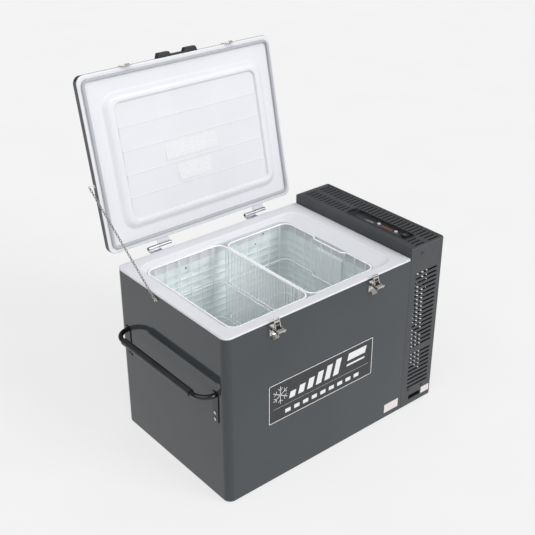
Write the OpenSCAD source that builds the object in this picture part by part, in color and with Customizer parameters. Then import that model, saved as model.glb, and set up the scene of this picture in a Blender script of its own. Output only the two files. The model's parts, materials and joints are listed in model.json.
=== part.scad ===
// Portable compressor cooler fridge with a rear-hinged lid, two lift-out baskets and a machine bay.
// Origin: centre of the footprint on the floor. +X right, +Y back, +Z up. Drawn with the lid open.

/* [Overall] */
// Length of the whole fridge, cabinet and machine bay together
total_l = 790; // [780:1:800]
// Depth front to back
total_w = 490; // [484:1:496]
// Length of the steel cabinet
steel_l = 654; // [650:1:658]
// Height of the steel walls
steel_h = 509; // [505:1:513]
// Height of the machine bay cover above the steel's lower edge
cover_h = 543; // [540:1:546]
// Height of the rubber feet
foot_h = 8; // [8:0.5:10]
// Thickness of the steel sheet
sheet = 1.2; // [1:0.1:1.5]
// Radius of the cabinet's upright corners
corner_r = 22; // [18:1:26]

/* [Tub] */
// Width of the tub's mouth along X
tub_l = 510.5; // [508:0.5:513]
// Depth of the tub's mouth along Y
tub_w = 395; // [394:0.5:396]
// Left edge of the tub's mouth
tub_x = -349; // [-350:0.5:-347]
// Front edge of the tub's mouth
tub_y = -208.5; // [-209:0.5:-208]
// Wall thickness of the liner
liner_t = 2.5; // [2:0.1:3]
// Height of the tub's floor
tub_floor = 64.5; // [60:0.5:66]
// Radius of the tub's corners
tub_r = 34; // [30:1:38]

/* [Lid] */
// Angle of the lid when it stands open
lid_open = 102.3; // [95:0.1:105]
// Distance of the hinge axis behind the cabinet
hinge_out = 18; // [16:0.5:20]
// Height of the hinge axis above the rim
hinge_up = 6; // [5.5:0.1:6.5]
// Thickness of the lid without its plug and gasket
lid_t = 23.5; // [22:0.5:24]
// Height of the gasket
gasket_h = 7.2; // [6.8:0.1:7.2]
// Depth of the plug below the lid's flange
plug_h = 10; // [8:0.5:10]

/* [Latches] */
// Distance of each latch from the middle of the lid
latch_out = 174; // [170:1:178]
// Angle of the lever from shut to where it stands open
lever_open = 75; // [70:1:78]
// Lean of the loop from upright when it stands open
loop_lean = 19; // [18:0.5:20]
// Length of the loop, pivot to hook bar
loop_l = 29.3; // [29:0.1:29.6]

/* [Chain] */
// Number of links in the lid stay
links = 45; // [45:2:45]
// Radius of the link wire
link_wire = 0.95; // [0.9:0.05:1]

/* [Vents] */
// Distance from one slot to the next in the upright grilles
slot_pitch = 14.4; // [14:0.1:14.8]
// Height of one slot
slot_h = 6.6; // [5:0.1:7.5]
// Distance from one slot to the next in the top grille
top_pitch = 15; // [14:0.5:16]

/* [Hidden] */
$fn = 48;
eps = 0.5;

// Main planes
x_l = -total_l / 2;
x_s = x_l + steel_l;
x_r = total_l / 2;
y_f = -total_w / 2;
y_b = total_w / 2;
z_b = foot_h;
z_s = z_b + steel_h;
rim_t = 5;
z_r = z_s + rim_t;
z_c = z_b + cover_h;
gap = 0.3;

// Cabinet
pan_t = 1.6;
bulkhead_x = x_s - 1.8;
foam_z0 = z_b + pan_t + 0.2;
skirt_z = 485;
rim_under_z = 508;
rim_seat_z = z_s + 0.2;
rebate_z = 516;
rebate_x = [-357, 218];
rebate_y = [-214, 204];
rebate_r = 38;
badge_half = 190.5;
badge_z = [199, 323];
low_label_x = [189, 247];
low_label_z = [25, 54];
bay_label_x = [349, 384];
bay_label_z = [25, 47];
foot_x = 345;
foot_y = 205;
foot_r = 17;
bush_r = 5.8;
bush_bore_r = 3;
bush_z1 = 14.5;
bush_lip_r = 8;
bush_lip_t = 1.4;
foot_recess = 1.6;
tub_x1 = tub_x + tub_l;
tub_y1 = tub_y + tub_w;
sheet_z0 = 150;
sheet_z1 = 430;
probe_y = [-76, 33];
probe_z = [300, 482];
probe_out = 10;

// Lid, drawn shut and then turned open about the hinge axis
axis_y = y_b + hinge_out;
axis_z = z_r + hinge_up;
lid_x1 = x_s - 2;
flange_z = z_r + gap + gasket_h;
lid_top = flange_z + lid_t;
skin_z = flange_z + lid_t / 2;
plug_z = flange_z - plug_h;
lid_wall = 2.5;
plug_x = [-334, 205];
plug_y = [-183, 194];
plug_r = 40;
recess_x = [-304, 177];
recess_y = [-157, 174];
recess_r = 22;
gasket_in = 10;
gasket_w = 12;
lid_mid = (x_l + x_s) / 2;

// Hinges
hinge_x = [-238, 110];
hinge_l = 78;
leaf_y = [y_b + 0.1, y_b + 2.3];
leaf_t = 2.3;
leaf_low_z = 488;
leaf_top_z = 521;
knuckle_r = 5;
pin_r = 2.5;
running = 0.06;

// Latches
latch_x = [lid_mid - latch_out, lid_mid + latch_out];
lever_y = y_f - 8;
lever_z = 503;
loop_dy = -1;
loop_dz = -11;
pivot_r = 1.6;
loop_y = lever_y + loop_dy * cos(lever_open) + loop_dz * sin(lever_open);
loop_z = lever_z - loop_dy * sin(lever_open) + loop_dz * cos(lever_open);

// Chain: from the stud on the cabinet to the stud on the open lid
stud_a = [x_l - 4.8, 47, 505];
stud_shut = [x_l - 16.5, 49, 541];
stud_e = [
    stud_shut[0],
    axis_y + (stud_shut[1] - axis_y) * cos(lid_open) + (stud_shut[2] - axis_z) * sin(lid_open),
    axis_z - (stud_shut[1] - axis_y) * sin(lid_open) + (stud_shut[2] - axis_z) * cos(lid_open)
];
stud_r = 1.3;
chain_l = norm([stud_e[1] - stud_a[1], stud_e[2] - stud_a[2]]);
chain_a = atan2(stud_e[2] - stud_a[2], stud_e[1] - stud_a[1]);
link_play = 0.2;
link_p = (chain_l + 2 * stud_r + link_play) / links;
link_in = (link_p + link_play) / 2;
link_half_w = 2.45;
link_first = link_in - stud_r - link_play;
lower_n = 19;

// Handles
handle_z = 338.6;
handle_out = 44;
handle_y = [-160, 163];
handle_rod = 7;
grip_r = 10;
strap_t = 2.7;
strap_w = 22;
strap_h = 91;
strap_up = 9;
rivet_z = [285, 265];
rivet_r = 2.5;

// Machine bay
cover_x = x_s + gap;
cover_y1 = y_b - 2;
cover_t = 3;
cover_r = 10;
cheek_z = 505;
bay_mid = (x_s + x_r) / 2;
slot_top_z = z_b + 454;
slot_x = [283, 372];
slot_gap_row = 18;
slot_rows = 27;
side_slots = [[-194, -110], [-92, -8], [10, 94], [112, 182]];
top_slot_x = [331, 381];
top_slot_y = -230;
top_slots = 31;
short_slot_x = [289, 316];
panel_x = [289, 335];
panel_y = [-191, 55];
panel_floor = z_c - 10;
grab_y = 36;
socket_x = [293, 345];
socket_z = [25, 41];
button_x = 318;
button_y = [-59, -127];
display_x = [311.5, 323.5];
display_y = [-114, -70];
switch_x = [303, 331];
switch_y = [-177, -150];

// Machinery
comp_r = 50;
comp_z = 92;
comp_y = [10, 150];
mount_y = [25, 135];
mount_x = [bay_mid - 37, bay_mid + 37];
coil_y = -110;
coil_r = 3.2;
coil_rows = 12;
coil_pitch = 26;
coil_z = 100;
coil_x = [288, 366];
fan_z = 250;
fan_r = 51;
fan_y = -80;
shaft_r = 2.5;
pipe_x = 290;
pipe_y = 60;
pipe_z = 420;
suction_x = bulkhead_x + 51.5;
suction_y = 120;
suction_z = 300;
stub_r = 4.6;
stub_z = comp_z + 42;
suction_stub_z = comp_z + 52;

// Baskets
wire = 3.2;
basket_floor = tub_floor + gap;
basket_top = 514.5;
basket_r = 28;
ring_z = [154, 274, 394];
basket_a = [-344.8, -80.7, -206, 185];
basket_b = [-79.3, 160, -206, 172.5];
notch_y = [-82, 39];
notch_in = 11;

steel_dark = [0.24, 0.25, 0.26];
plastic_dark = [0.20, 0.21, 0.22];
white_plastic = [0.93, 0.93, 0.95];
mint = [0.82, 0.88, 0.87];
nickel = [0.78, 0.77, 0.74];

// ---------- shapes ----------

// A box between two corners
module box(x, y, z) {
    translate([x[0], y[0], z[0]])
        cube([x[1] - x[0], y[1] - y[0], z[1] - z[0]]);
}

// A rectangle with round corners
module round_rect(x, y, r) {
    translate([x[0] + r, y[0]])
        square([x[1] - x[0] - 2 * r, y[1] - y[0]]);
    translate([x[0], y[0] + r])
        square([x[1] - x[0], y[1] - y[0] - 2 * r]);
    for (cx = [x[0] + r, x[1] - r])
        for (cy = [y[0] + r, y[1] - r])
            translate([cx, cy])
                circle(r);
}

// A slab with round upright corners
module slab(x, y, z, r) {
    translate([0, 0, z[0]])
        linear_extrude(z[1] - z[0])
            round_rect(x, y, r);
}

// A slab drawn in from an outline by an amount, or out where it is negative
module inset_slab(x, y, z, r, inset) {
    slab([x[0] + inset, x[1] - inset], [y[0] + inset, y[1] - inset], z, r - inset);
}

// A slab with a smaller slab's outline cut through it
module frame_slab(x, y, z, r, inset) {
    translate([0, 0, z[0]])
        linear_extrude(z[1] - z[0])
            difference() {
                round_rect(x, y, r);
                round_rect(
                    [x[0] + inset, x[1] - inset],
                    [y[0] + inset, y[1] - inset],
                    max(r - inset, 1)
                );
            }
}

// The tub's outline, grown by an amount
module tub_slab(grow, z) {
    slab(
        [tub_x - grow, tub_x1 + grow],
        [tub_y - grow, tub_y1 + grow],
        z,
        tub_r + grow
    );
}

// The lid and all that rides on it, turned from shut to open
module on_open_lid() {
    translate([0, axis_y, axis_z])
        rotate([-lid_open, 0, 0])
            translate([0, -axis_y, -axis_z])
                children();
}

// A round bar along one axis, from a start point
module bar_x(p, l, r) {
    translate(p)
        rotate([0, 90, 0])
            cylinder(h = l, r = r);
}

module bar_y(p, l, r) {
    translate(p)
        rotate([-90, 0, 0])
            cylinder(h = l, r = r);
}

module bar_z(p, l, r) {
    translate(p)
        cylinder(h = l, r = r);
}

// A quarter bend of a round bar, about +Z, from start angle a
module bend(bend_r, r, a, sweep = 90) {
    rotate([0, 0, a])
        rotate_extrude(angle = sweep)
            translate([bend_r, 0])
                circle(r);
}

// ---------- cabinet ----------

module outer_cabinet() {
    color(steel_dark)
        translate([0, 0, z_b])
            linear_extrude(steel_h)
                difference() {
                    round_rect([x_l, x_s + 60], [y_f, y_b], corner_r);
                    round_rect(
                        [x_l + sheet, x_s + 80],
                        [y_f + sheet, y_b - sheet],
                        corner_r - sheet
                    );
                    translate([x_s, y_f - eps])
                        square([100, total_w + 2 * eps]);
                }
}

module base_pan() {
    inset = sheet + 0.2;
    color("dimgray")
        difference() {
            slab(
                [x_l + inset, x_r - cover_t - 0.4],
                [y_f + inset + 2, y_b - inset - 4],
                [z_b, z_b + pan_t],
                corner_r - inset
            );
            foot_places()
                bar_z([0, 0, z_b - eps], pan_t + 2 * eps, bush_r + 0.1);
        }
}

module bulkhead() {
    color("silver")
        box(
            [bulkhead_x, bulkhead_x + 1.5],
            [y_f + 1.5, y_b - 1.5],
            [foam_z0, rim_under_z - 0.5]
        );
}

module foam_insulation() {
    inset = sheet + 0.2;
    color("khaki")
        difference() {
            translate([0, 0, foam_z0])
                linear_extrude(rim_under_z - 0.2 - foam_z0)
                    difference() {
                        round_rect(
                            [x_l + inset, x_s + 60],
                            [y_f + inset, y_b - inset],
                            corner_r - inset
                        );
                        translate([bulkhead_x - 0.2, y_f - eps])
                            square([100, total_w + 2 * eps]);
                    }
            tub_slab(liner_t + 0.2, [tub_floor - liner_t - 0.2, rim_under_z + eps]);
            tub_slab(liner_t + 2, [sheet_z0 - 0.2, sheet_z1 + 0.2]);
            tub_slab(4.2, [skirt_z - 0.2, rim_under_z + eps]);
            foot_places()
                bar_z([0, 0, foam_z0 - eps], 6, 10);
        }
}

module inner_liner() {
    color(mint)
        difference() {
            tub_slab(liner_t, [tub_floor - liner_t, skirt_z - 0.2]);
            tub_slab(0, [tub_floor, skirt_z + eps]);
        }
}

module evaporator_sheet() {
    color("lightsteelblue")
        difference() {
            tub_slab(liner_t + 1.6, [sheet_z0, sheet_z1]);
            tub_slab(liner_t + 0.2, [sheet_z0 - eps, sheet_z1 + eps]);
        }
}

module sensor_cover() {
    wall = 2;
    color(mint)
        difference() {
            box([tub_x1 - probe_out, tub_x1 - 0.1], probe_y, probe_z);
            box(
                [tub_x1 - probe_out + wall, tub_x1 + eps],
                [probe_y[0] + wall, probe_y[1] - wall],
                [probe_z[0] + wall, probe_z[1] - wall]
            );
        }
}

module top_rim() {
    inset = sheet + 0.3;
    color(white_plastic)
        difference() {
            union() {
                slab([x_l, x_s], [y_f, y_b], [rim_seat_z, z_r], 8);
                inset_slab(
                    [x_l, bulkhead_x + inset],
                    [y_f, y_b],
                    [rim_under_z, rim_seat_z + eps],
                    8 + inset,
                    inset
                );
                tub_slab(4, [skirt_z, rim_under_z + eps]);
            }
            slab(rebate_x, rebate_y, [rebate_z, z_r + eps], rebate_r);
            tub_slab(0, [skirt_z - eps, z_r + eps]);
            for (cy = [y_f, y_b]) {
                rim_corner(cy, 0, [rim_under_z - eps, z_r + eps]);
                rim_corner(cy, inset, [rim_under_z - eps, rim_seat_z]);
            }
        }
}

// The waste outside a round left corner of the rim, between two heights
module rim_corner(cy, inset, z) {
    s = cy < 0 ? 1 : -1;
    translate([0, 0, z[0]])
        linear_extrude(z[1] - z[0])
            difference() {
                translate([x_l - eps, s > 0 ? cy - eps : cy - corner_r])
                    square([corner_r + eps, corner_r + eps]);
                translate([x_l + corner_r, cy + s * corner_r])
                    circle(corner_r - inset);
            }
}

module foot_places() {
    for (fx = [-foot_x, foot_x])
        for (fy = [-foot_y, foot_y])
            translate([fx, fy, 0])
                children();
}

module rubber_feet() {
    color([0.08, 0.08, 0.08])
        foot_places()
            difference() {
                cylinder(h = foot_h, r = foot_r);
                bar_z([0, 0, -eps], foot_h + 2 * eps, bush_r + 0.1);
                bar_z([0, 0, -eps], foot_recess + eps, bush_lip_r + 0.2);
            }
}

module foot_bushes() {
    color("silver")
        foot_places()
            difference() {
                union() {
                    bar_z([0, 0, 0], bush_z1, bush_r);
                    bar_z([0, 0, 0], bush_lip_t, bush_lip_r);
                    bar_z([0, 0, z_b + pan_t], 2, 9);
                }
                bar_z([0, 0, -eps], bush_z1 + 2 * eps, bush_bore_r);
            }
}

module front_badge() {
    color([0.22, 0.22, 0.23])
        translate([0, y_f, 0])
            rotate([90, 0, 0])
                linear_extrude(0.8)
                    round_rect([lid_mid - badge_half, lid_mid + badge_half], badge_z, 2);
}

module rating_labels() {
    color("white") {
        box(low_label_x, [y_f - 0.3, y_f], low_label_z);
        box(bay_label_x, [y_f - 0.3, y_f], bay_label_z);
    }
}

// ---------- hinges ----------

module hinge_leaves_cabinet() {
    color("gainsboro")
        for (hx = hinge_x)
            difference() {
                shelf_z = leaf_top_z - leaf_t;
                union() {
                    box([hx - hinge_l / 2, hx + hinge_l / 2], leaf_y, [leaf_low_z, leaf_top_z]);
                    box([hx - hinge_l / 2, hx - 0.2], [leaf_y[0], axis_y], [shelf_z, leaf_top_z]);
                    box([hx - hinge_l / 2, hx - 0.2], [axis_y - 2, axis_y + 2], [shelf_z, axis_z]);
                    bar_x([hx - hinge_l / 2, axis_y, axis_z], hinge_l / 2 - 0.2, knuckle_r);
                }
                bar_x([hx - hinge_l / 2 - eps, axis_y, axis_z], hinge_l / 2 + 1, pin_r);
            }
}

module hinge_pins() {
    color("silver")
        for (hx = hinge_x) {
            bar_x([hx - hinge_l / 2, axis_y, axis_z], hinge_l, pin_r);
            bar_x([hx - hinge_l / 2 - 1.5, axis_y, axis_z], 1.5, 3.6);
            bar_x([hx + hinge_l / 2, axis_y, axis_z], 1.5, 3.6);
        }
}

module hinge_leaves_lid() {
    leaf_z = axis_z + 7;
    leaf_end_z = lid_top - 2;
    shelf_z = leaf_z + leaf_t;
    color("gainsboro")
        on_open_lid()
            for (hx = hinge_x)
                difference() {
                    union() {
                        box([hx - hinge_l / 2, hx + hinge_l / 2], leaf_y, [leaf_z, leaf_end_z]);
                        box([hx + 0.2, hx + hinge_l / 2], [leaf_y[0], axis_y], [leaf_z, shelf_z]);
                        box([hx + 0.2, hx + hinge_l / 2], [axis_y - 2, axis_y + 2], [axis_z, shelf_z]);
                        bar_x([hx + 0.2, axis_y, axis_z], hinge_l / 2 - 0.4, knuckle_r);
                    }
                    bar_x([hx, axis_y, axis_z], hinge_l / 2 + eps, pin_r + running);
                }
}

module hinge_screws() {
    color("silver")
        for (hx = hinge_x)
            for (dx = [-26, 0, 26])
                bar_y([hx + dx, leaf_y[1], leaf_low_z + 12], 1.8, 4);
}

// ---------- lid ----------

module lid_outer_skin() {
    wall = 1.2;
    color(steel_dark)
        on_open_lid()
            difference() {
                slab([x_l, lid_x1], [y_f, y_b], [skin_z, lid_top], corner_r);
                slab(
                    [x_l + wall, lid_x1 - wall],
                    [y_f + wall, y_b - wall],
                    [skin_z - eps, lid_top - wall],
                    corner_r - wall
                );
            }
}

module lid_foam() {
    inset = lid_wall + 0.5;
    clear = lid_wall + 0.4;
    color("khaki")
        on_open_lid()
            difference() {
                union() {
                    slab(
                        [x_l + inset, lid_x1 - inset],
                        [y_f + inset, y_b - inset],
                        [flange_z + lid_wall + 0.2, lid_top - 1.4],
                        corner_r - inset
                    );
                    inset_slab(
                        plug_x,
                        plug_y,
                        [plug_z + lid_wall + 0.2, flange_z + lid_wall + 1],
                        plug_r,
                        clear
                    );
                }
                inset_slab(recess_x, recess_y, [plug_z, flange_z + 0.2], recess_r, -clear);
            }
}

module lid_liner() {
    color(white_plastic)
        on_open_lid()
            difference() {
                union() {
                    frame_slab([x_l, lid_x1], [y_f, y_b], [flange_z, skin_z - 0.1], corner_r, lid_wall);
                    inset_slab([x_l, lid_x1], [y_f, y_b], [flange_z, flange_z + lid_wall], corner_r, 1);
                    slab(plug_x, plug_y, [plug_z, flange_z + lid_wall], plug_r);
                }
                inset_slab(plug_x, plug_y, [plug_z + lid_wall, flange_z + lid_wall + 1], plug_r, lid_wall);
                slab(recess_x, recess_y, [plug_z - eps, plug_z + lid_wall + eps], recess_r);
            }
    color(white_plastic)
        on_open_lid()
            recessed_panel();
}

// The recessed middle panel of the lid liner
module recessed_panel() {
    difference() {
        inset_slab(recess_x, recess_y, [plug_z + lid_wall, flange_z], recess_r, -lid_wall);
        slab(recess_x, recess_y, [plug_z - eps, flange_z - lid_wall], recess_r);
    }
}

module lid_gasket() {
    color([0.66, 0.67, 0.69])
        on_open_lid()
            frame_slab(
                [x_l + gasket_in, lid_x1 - gasket_in],
                [y_f + gasket_in, y_b - gasket_in],
                [z_r + gap, flange_z],
                corner_r - 4,
                gasket_w
            );
}

module lid_handle() {
    deep = 14;
    low = 5;
    half = 68;
    color([0.07, 0.07, 0.07])
        on_open_lid()
            translate([lid_mid, y_f, flange_z + 4])
                linear_extrude(17)
                    polygon([
                        [-half, 0], [-half + 6, -deep], [-half + 40, -deep], [-half + 46, -low],
                        [half - 46, -low], [half - 40, -deep], [half - 6, -deep], [half, 0]
                    ]);
}

module lid_stickers() {
    color("whitesmoke")
        on_open_lid() {
            box([-165, 14], [-19, 33], [flange_z - lid_wall - 0.3, flange_z - lid_wall]);
            box([-134, -20], [50, 99], [flange_z - lid_wall - 0.3, flange_z - lid_wall]);
        }
}

// Each keeper is a plate on the lid's front edge with a hook below it
module latch_keepers() {
    half = 13;
    hook_half = 6.4;
    hook_z = 517.5;
    hook_y = y_f - 7.3;
    color(nickel)
        on_open_lid()
            for (lx = latch_x) {
                box([lx - half, lx + half], [y_f - 1.8, y_f - 0.2], [hook_z, lid_top - 3]);
                box([lx - hook_half, lx + hook_half], [hook_y, y_f - 0.2], [hook_z, hook_z + 1.5]);
                box([lx - hook_half, lx + hook_half], [hook_y, hook_y + 1.3], [hook_z, hook_z + 5.5]);
                for (dx = [-8, 8])
                    bar_y([lx + dx, y_f - 3, lid_top - 10], 1.3, 2.6);
            }
}

// ---------- lid stay chain ----------

module lid_chain_stud() {
    color(nickel)
        on_open_lid() {
            bar_x([x_l - 1.5, stud_shut[1], stud_shut[2]], 1.5, 5);
            bar_x([stud_shut[0] - 1.5, stud_shut[1], stud_shut[2]], x_l - stud_shut[0] + 1.5, stud_r);
            bar_x([stud_shut[0] - 2, stud_shut[1], stud_shut[2]], 0.8, 3);
            bar_x([stud_shut[0] + 1.2, stud_shut[1], stud_shut[2]], 1.2, 3);
        }
}

module chain_anchor() {
    color(nickel) {
        bar_x([x_l - 1.5, stud_a[1], stud_a[2]], 1.5, 5);
        bar_x([x_l - 6.3, stud_a[1], stud_a[2]], 6.3, stud_r);
        bar_x([x_l - 6.7, stud_a[1], stud_a[2]], 0.75, 3);
    }
}

// One link, its length along +Y, flat in the YZ plane
module chain_link() {
    straight = link_in - link_half_w + link_wire;
    for (s = [-1, 1]) {
        bar_y([0, -straight, s * link_half_w], 2 * straight, link_wire);
        translate([0, s * straight, 0])
            rotate([0, 90, 0])
                bend(link_half_w, link_wire, s > 0 ? 0 : 180, 180);
    }
}

// Links from one number to another, on the line between the two studs
module chain_run(first, last) {
    for (i = [first : last]) {
        along = link_first + i * link_p;
        t = along / chain_l;
        translate([
            stud_a[0] + t * (stud_e[0] - stud_a[0]),
            stud_a[1] + along * cos(chain_a),
            stud_a[2] + along * sin(chain_a)
        ])
            rotate([chain_a, 0, 0])
                rotate([0, i % 2 * 90, 0])
                    chain_link();
    }
}

module chain_lower() {
    color(nickel)
        chain_run(0, lower_n - 1);
}

module chain_turn_a() {
    color(nickel)
        chain_run(lower_n, lower_n);
}

module chain_turn_b() {
    color(nickel)
        chain_run(lower_n + 1, lower_n + 1);
}

module chain_upper() {
    color(nickel)
        chain_run(lower_n + 2, links - 1);
}

// ---------- latches ----------

// The tongue that stands out below a lever
module latch_tongue(lx) {
    half = 10;
    tip_y = y_f - 13;
    tip_z = 472;
    root_z = 481.6;
    translate([lx - half, 0, 0])
        rotate([90, 0, 90])
            linear_extrude(2 * half)
                polygon([
                    [y_f - 1, root_z + 2.4],
                    [tip_y, tip_z + 1.6],
                    [tip_y, tip_z],
                    [y_f - 1, root_z],
                ]);
}

module latch_bases() {
    color(nickel)
        for (lx = latch_x) {
            box([lx - 14, lx + 14], [y_f - 1.7, y_f - 0.1], [478, 512]);
            latch_tongue(lx);
            for (s = [-1, 1]) {
                ear = s > 0 ? [lx + 12.5, lx + 14] : [lx - 14, lx - 12.5];
                box(ear, [lever_y - 3.5, y_f - 1.7], [lever_z - 6, lever_z + 5]);
                bar_x([s > 0 ? lx + 10.3 : lx - 14, lever_y, lever_z], 3.7, pivot_r);
            }
        }
}

module latch_screws() {
    color("silver")
        for (lx = latch_x)
            for (dx = [-9, 9])
                bar_y([lx + dx, y_f - 3.2, 490], 1.5, 2.8);
}

// The lever, drawn shut about its pivot and then swung open
module latch_lever(lx) {
    reach = 24;
    color(nickel)
        translate([lx, lever_y, lever_z])
            rotate([-lever_open, 0, 0])
                difference() {
                    union() {
                        for (s = [-1, 1]) {
                            side = s > 0 ? [10.5, 12] : [-12, -10.5];
                            box(side, [-5, 3], [-reach, 3]);
                        }
                        box([-12, 12], [-5, -3.5], [-reach, -14.5]);
                        box([-12, 12], [-9, -3.5], [-reach - 1.5, -reach]);
                        bar_x([-11, loop_dy, loop_dz], 22, 1.5);
                    }
                    bar_x([-13, 0, 0], 3, pivot_r + running);
                    bar_x([10, 0, 0], 3, pivot_r + running);
                }
}

module latch_lever_left() {
    latch_lever(latch_x[0]);
}

module latch_lever_right() {
    latch_lever(latch_x[1]);
}

// The loop: two eyelets on the lever's pin, two arms and a hook bar
module latch_loop(lx) {
    color(nickel)
        translate([lx, loop_y, loop_z])
            rotate([-loop_lean, 0, 0])
                difference() {
                    union() {
                        for (s = [-1, 1]) {
                            bar_x([s > 0 ? 7 : -9.5, 0, 0], 2.5, 3.2);
                            box(s > 0 ? [7, 9.5] : [-9.5, -7], [-1.25, 1.25], [2, loop_l]);
                        }
                        bar_x([-9.5, 0, loop_l], 19, 1.5);
                        box([-7.5, 7.5], [-0.8, 0.8], [loop_l - 10, loop_l - 6]);
                    }
                    bar_x([-10, 0, 0], 20, 1.5 + running);
                }
}

module latch_loop_left() {
    latch_loop(latch_x[0]);
}

module latch_loop_right() {
    latch_loop(latch_x[1]);
}

// ---------- carry handles ----------

// The left bar: a rod bent to the wall at both ends, with a strap down the wall
module handle_bar() {
    rod_x = x_l - handle_out;
    bend_r = handle_out - strap_t;
    color([0.1, 0.1, 0.1])
        difference() {
            union() {
                bar_y([rod_x, handle_y[0], handle_z], handle_y[1] - handle_y[0], handle_rod);
                translate([rod_x + bend_r, handle_y[0], handle_z])
                    bend(bend_r, handle_rod, 180);
                translate([rod_x + bend_r, handle_y[1], handle_z])
                    bend(bend_r, handle_rod, 90);
                for (sy = [handle_y[0] - bend_r, handle_y[1] + bend_r])
                    box(
                        [x_l - strap_t - 0.1, x_l - 0.1],
                        [sy - strap_w / 2, sy + strap_w / 2],
                        [handle_z + strap_up - strap_h, handle_z + strap_up]
                    );
            }
            rivet_places()
                bar_x([x_l - strap_t - eps, 0, 0], strap_t + 2, rivet_r);
        }
}

module rivet_places() {
    bend_r = handle_out - strap_t;
    for (sy = [handle_y[0] - bend_r, handle_y[1] + bend_r])
        for (rz = rivet_z)
            translate([0, sy, rz])
                children();
}

module handle_bar_left() {
    handle_bar();
}

module handle_bar_right() {
    mirror([1, 0, 0])
        handle_bar();
}

module handle_grip() {
    color([0.06, 0.06, 0.06])
        difference() {
            bar_y([x_l - handle_out, handle_y[0] + 6, handle_z], handle_y[1] - handle_y[0] - 12, grip_r);
            bar_y([x_l - handle_out, handle_y[0], handle_z], handle_y[1] - handle_y[0], handle_rod);
        }
}

module handle_grip_left() {
    handle_grip();
}

module handle_grip_right() {
    mirror([1, 0, 0])
        handle_grip();
}

module handle_rivets() {
    color("silver")
        for (s = [0, 1])
            mirror([s, 0, 0])
                rivet_places() {
                    bar_x([x_l - strap_t - 2.1, 0, 0], 2, 4.8);
                    bar_x([x_l - strap_t - 0.2, 0, 0], strap_t, rivet_r);
                }
}

// ---------- machine bay ----------

// The cover's outline, square at the cabinet and round at the outer corners
module cover_outline(inset, left) {
    difference() {
        round_rect([x_s - 40, x_r - inset], [y_f + inset, cover_y1 - inset], cover_r - inset);
        translate([x_s - 60, y_f - eps])
            square([left - x_s + 60, total_w + 2 * eps]);
    }
}

// A slot with round ends, long axis along X, cut through along Y
module slot_front(z) {
    r = slot_h / 2;
    box([slot_x[0] + r, slot_x[1] - r], [y_f - 1, y_f + cover_t + 1], [z - r, z + r]);
    bar_y([slot_x[0] + r, y_f - 1, z], cover_t + 2, r);
    bar_y([slot_x[1] - r, y_f - 1, z], cover_t + 2, r);
}

module bay_cover() {
    color(plastic_dark)
        difference() {
            translate([0, 0, z_b])
                linear_extrude(cover_h)
                    cover_outline(0, cover_x);
            translate([0, 0, z_b - eps])
                linear_extrude(cheek_z - z_b + eps)
                    cover_outline(cover_t, x_s - 1);
            translate([0, 0, cheek_z - 1])
                linear_extrude(z_c - cover_t - cheek_z + 1)
                    cover_outline(cover_t, cover_x + cover_t);
            front_slots();
            side_slot_cuts();
            top_slot_cuts();
            slab(
                [panel_x[0] - 0.3, panel_x[1] + 0.3],
                [panel_y[0] - 0.3, panel_y[1] + 0.3],
                [z_c - cover_t - 1, z_c + 1],
                6
            );
            box(
                [socket_x[0] - 0.3, socket_x[1] + 0.3],
                [y_f - 1, y_f + cover_t + 1],
                [socket_z[0] - 0.3, socket_z[1] + 0.3]
            );
        }
}

module front_slots() {
    for (k = [0 : slot_rows])
        if (k != slot_gap_row)
            slot_front(slot_top_z - k * slot_pitch);
}

module side_slot_cuts() {
    r = slot_h / 2;
    for (k = [0 : slot_rows])
        if (k != slot_gap_row)
            for (s = side_slots)
                translate([0, 0, slot_top_z - k * slot_pitch])
                    box([x_r - cover_t - 1, x_r + 1], s, [-r, r]);
}

module top_slot_cuts() {
    half = 3.4;
    for (k = [0 : top_slots - 1]) {
        cy = top_slot_y + k * top_pitch;
        box(top_slot_x, [cy - half, cy + half], [z_c - cover_t - 1, z_c + 1]);
        if (cy < panel_y[0] - 8 || cy > panel_y[1] + 8)
            box(short_slot_x, [cy - half, cy + half], [z_c - cover_t - 1, z_c + 1]);
    }
}

module cover_screws() {
    color("silver") {
        bar_y([291, y_f - 1.6, 62], 1.6, 4);
        bar_y([350, y_f - 1.6, 56], 1.6, 4);
        bar_y([303, y_f - 1.2, 527], 1.2, 3.5);
    }
}

module control_panel() {
    wall = 1.5;
    color([0.13, 0.13, 0.14])
        difference() {
            slab(panel_x, panel_y, [panel_floor - 3, z_c - 0.2], 5.7);
            slab(
                [panel_x[0] + wall, panel_x[1] - wall],
                [panel_y[0] + wall, grab_y],
                [panel_floor, z_c + 1],
                5
            );
            slab(
                [panel_x[0] + wall, panel_x[1] - wall],
                [grab_y + wall, panel_y[1] - wall],
                [panel_floor - 1.5, z_c + 1],
                5
            );
            for (by = button_y)
                bar_z([button_x, by, panel_floor - 4], 8, 2.6);
            box([313, 321], [-167, -160], [panel_floor - 4, panel_floor + 1]);
        }
}

module display_window() {
    color([0.35, 0.05, 0.05])
        box(display_x, display_y, [panel_floor, panel_floor + 1]);
}

module panel_button(by) {
    color("gainsboro") {
        bar_z([button_x, by, panel_floor + 1.6], 1.8, 5);
        bar_z([button_x, by, panel_floor - 6.5], 8.3, 2.4);
    }
}

module button_up() {
    panel_button(button_y[0]);
}

module button_down() {
    panel_button(button_y[1]);
}

// A rocker on a cross pin, its heel in the panel's window
module power_switch() {
    mid_y = (switch_y[0] + switch_y[1]) / 2;
    color([0.03, 0.03, 0.03]) {
        box(
            [switch_x[0] + 4, switch_x[1] - 4],
            [mid_y - 9, mid_y + 9],
            [panel_floor + 3, panel_floor + 7.5]
        );
        box([314.5, 319.5], [mid_y - 2, mid_y + 2], [panel_floor - 6, panel_floor + 3.2]);
    }
}

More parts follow.
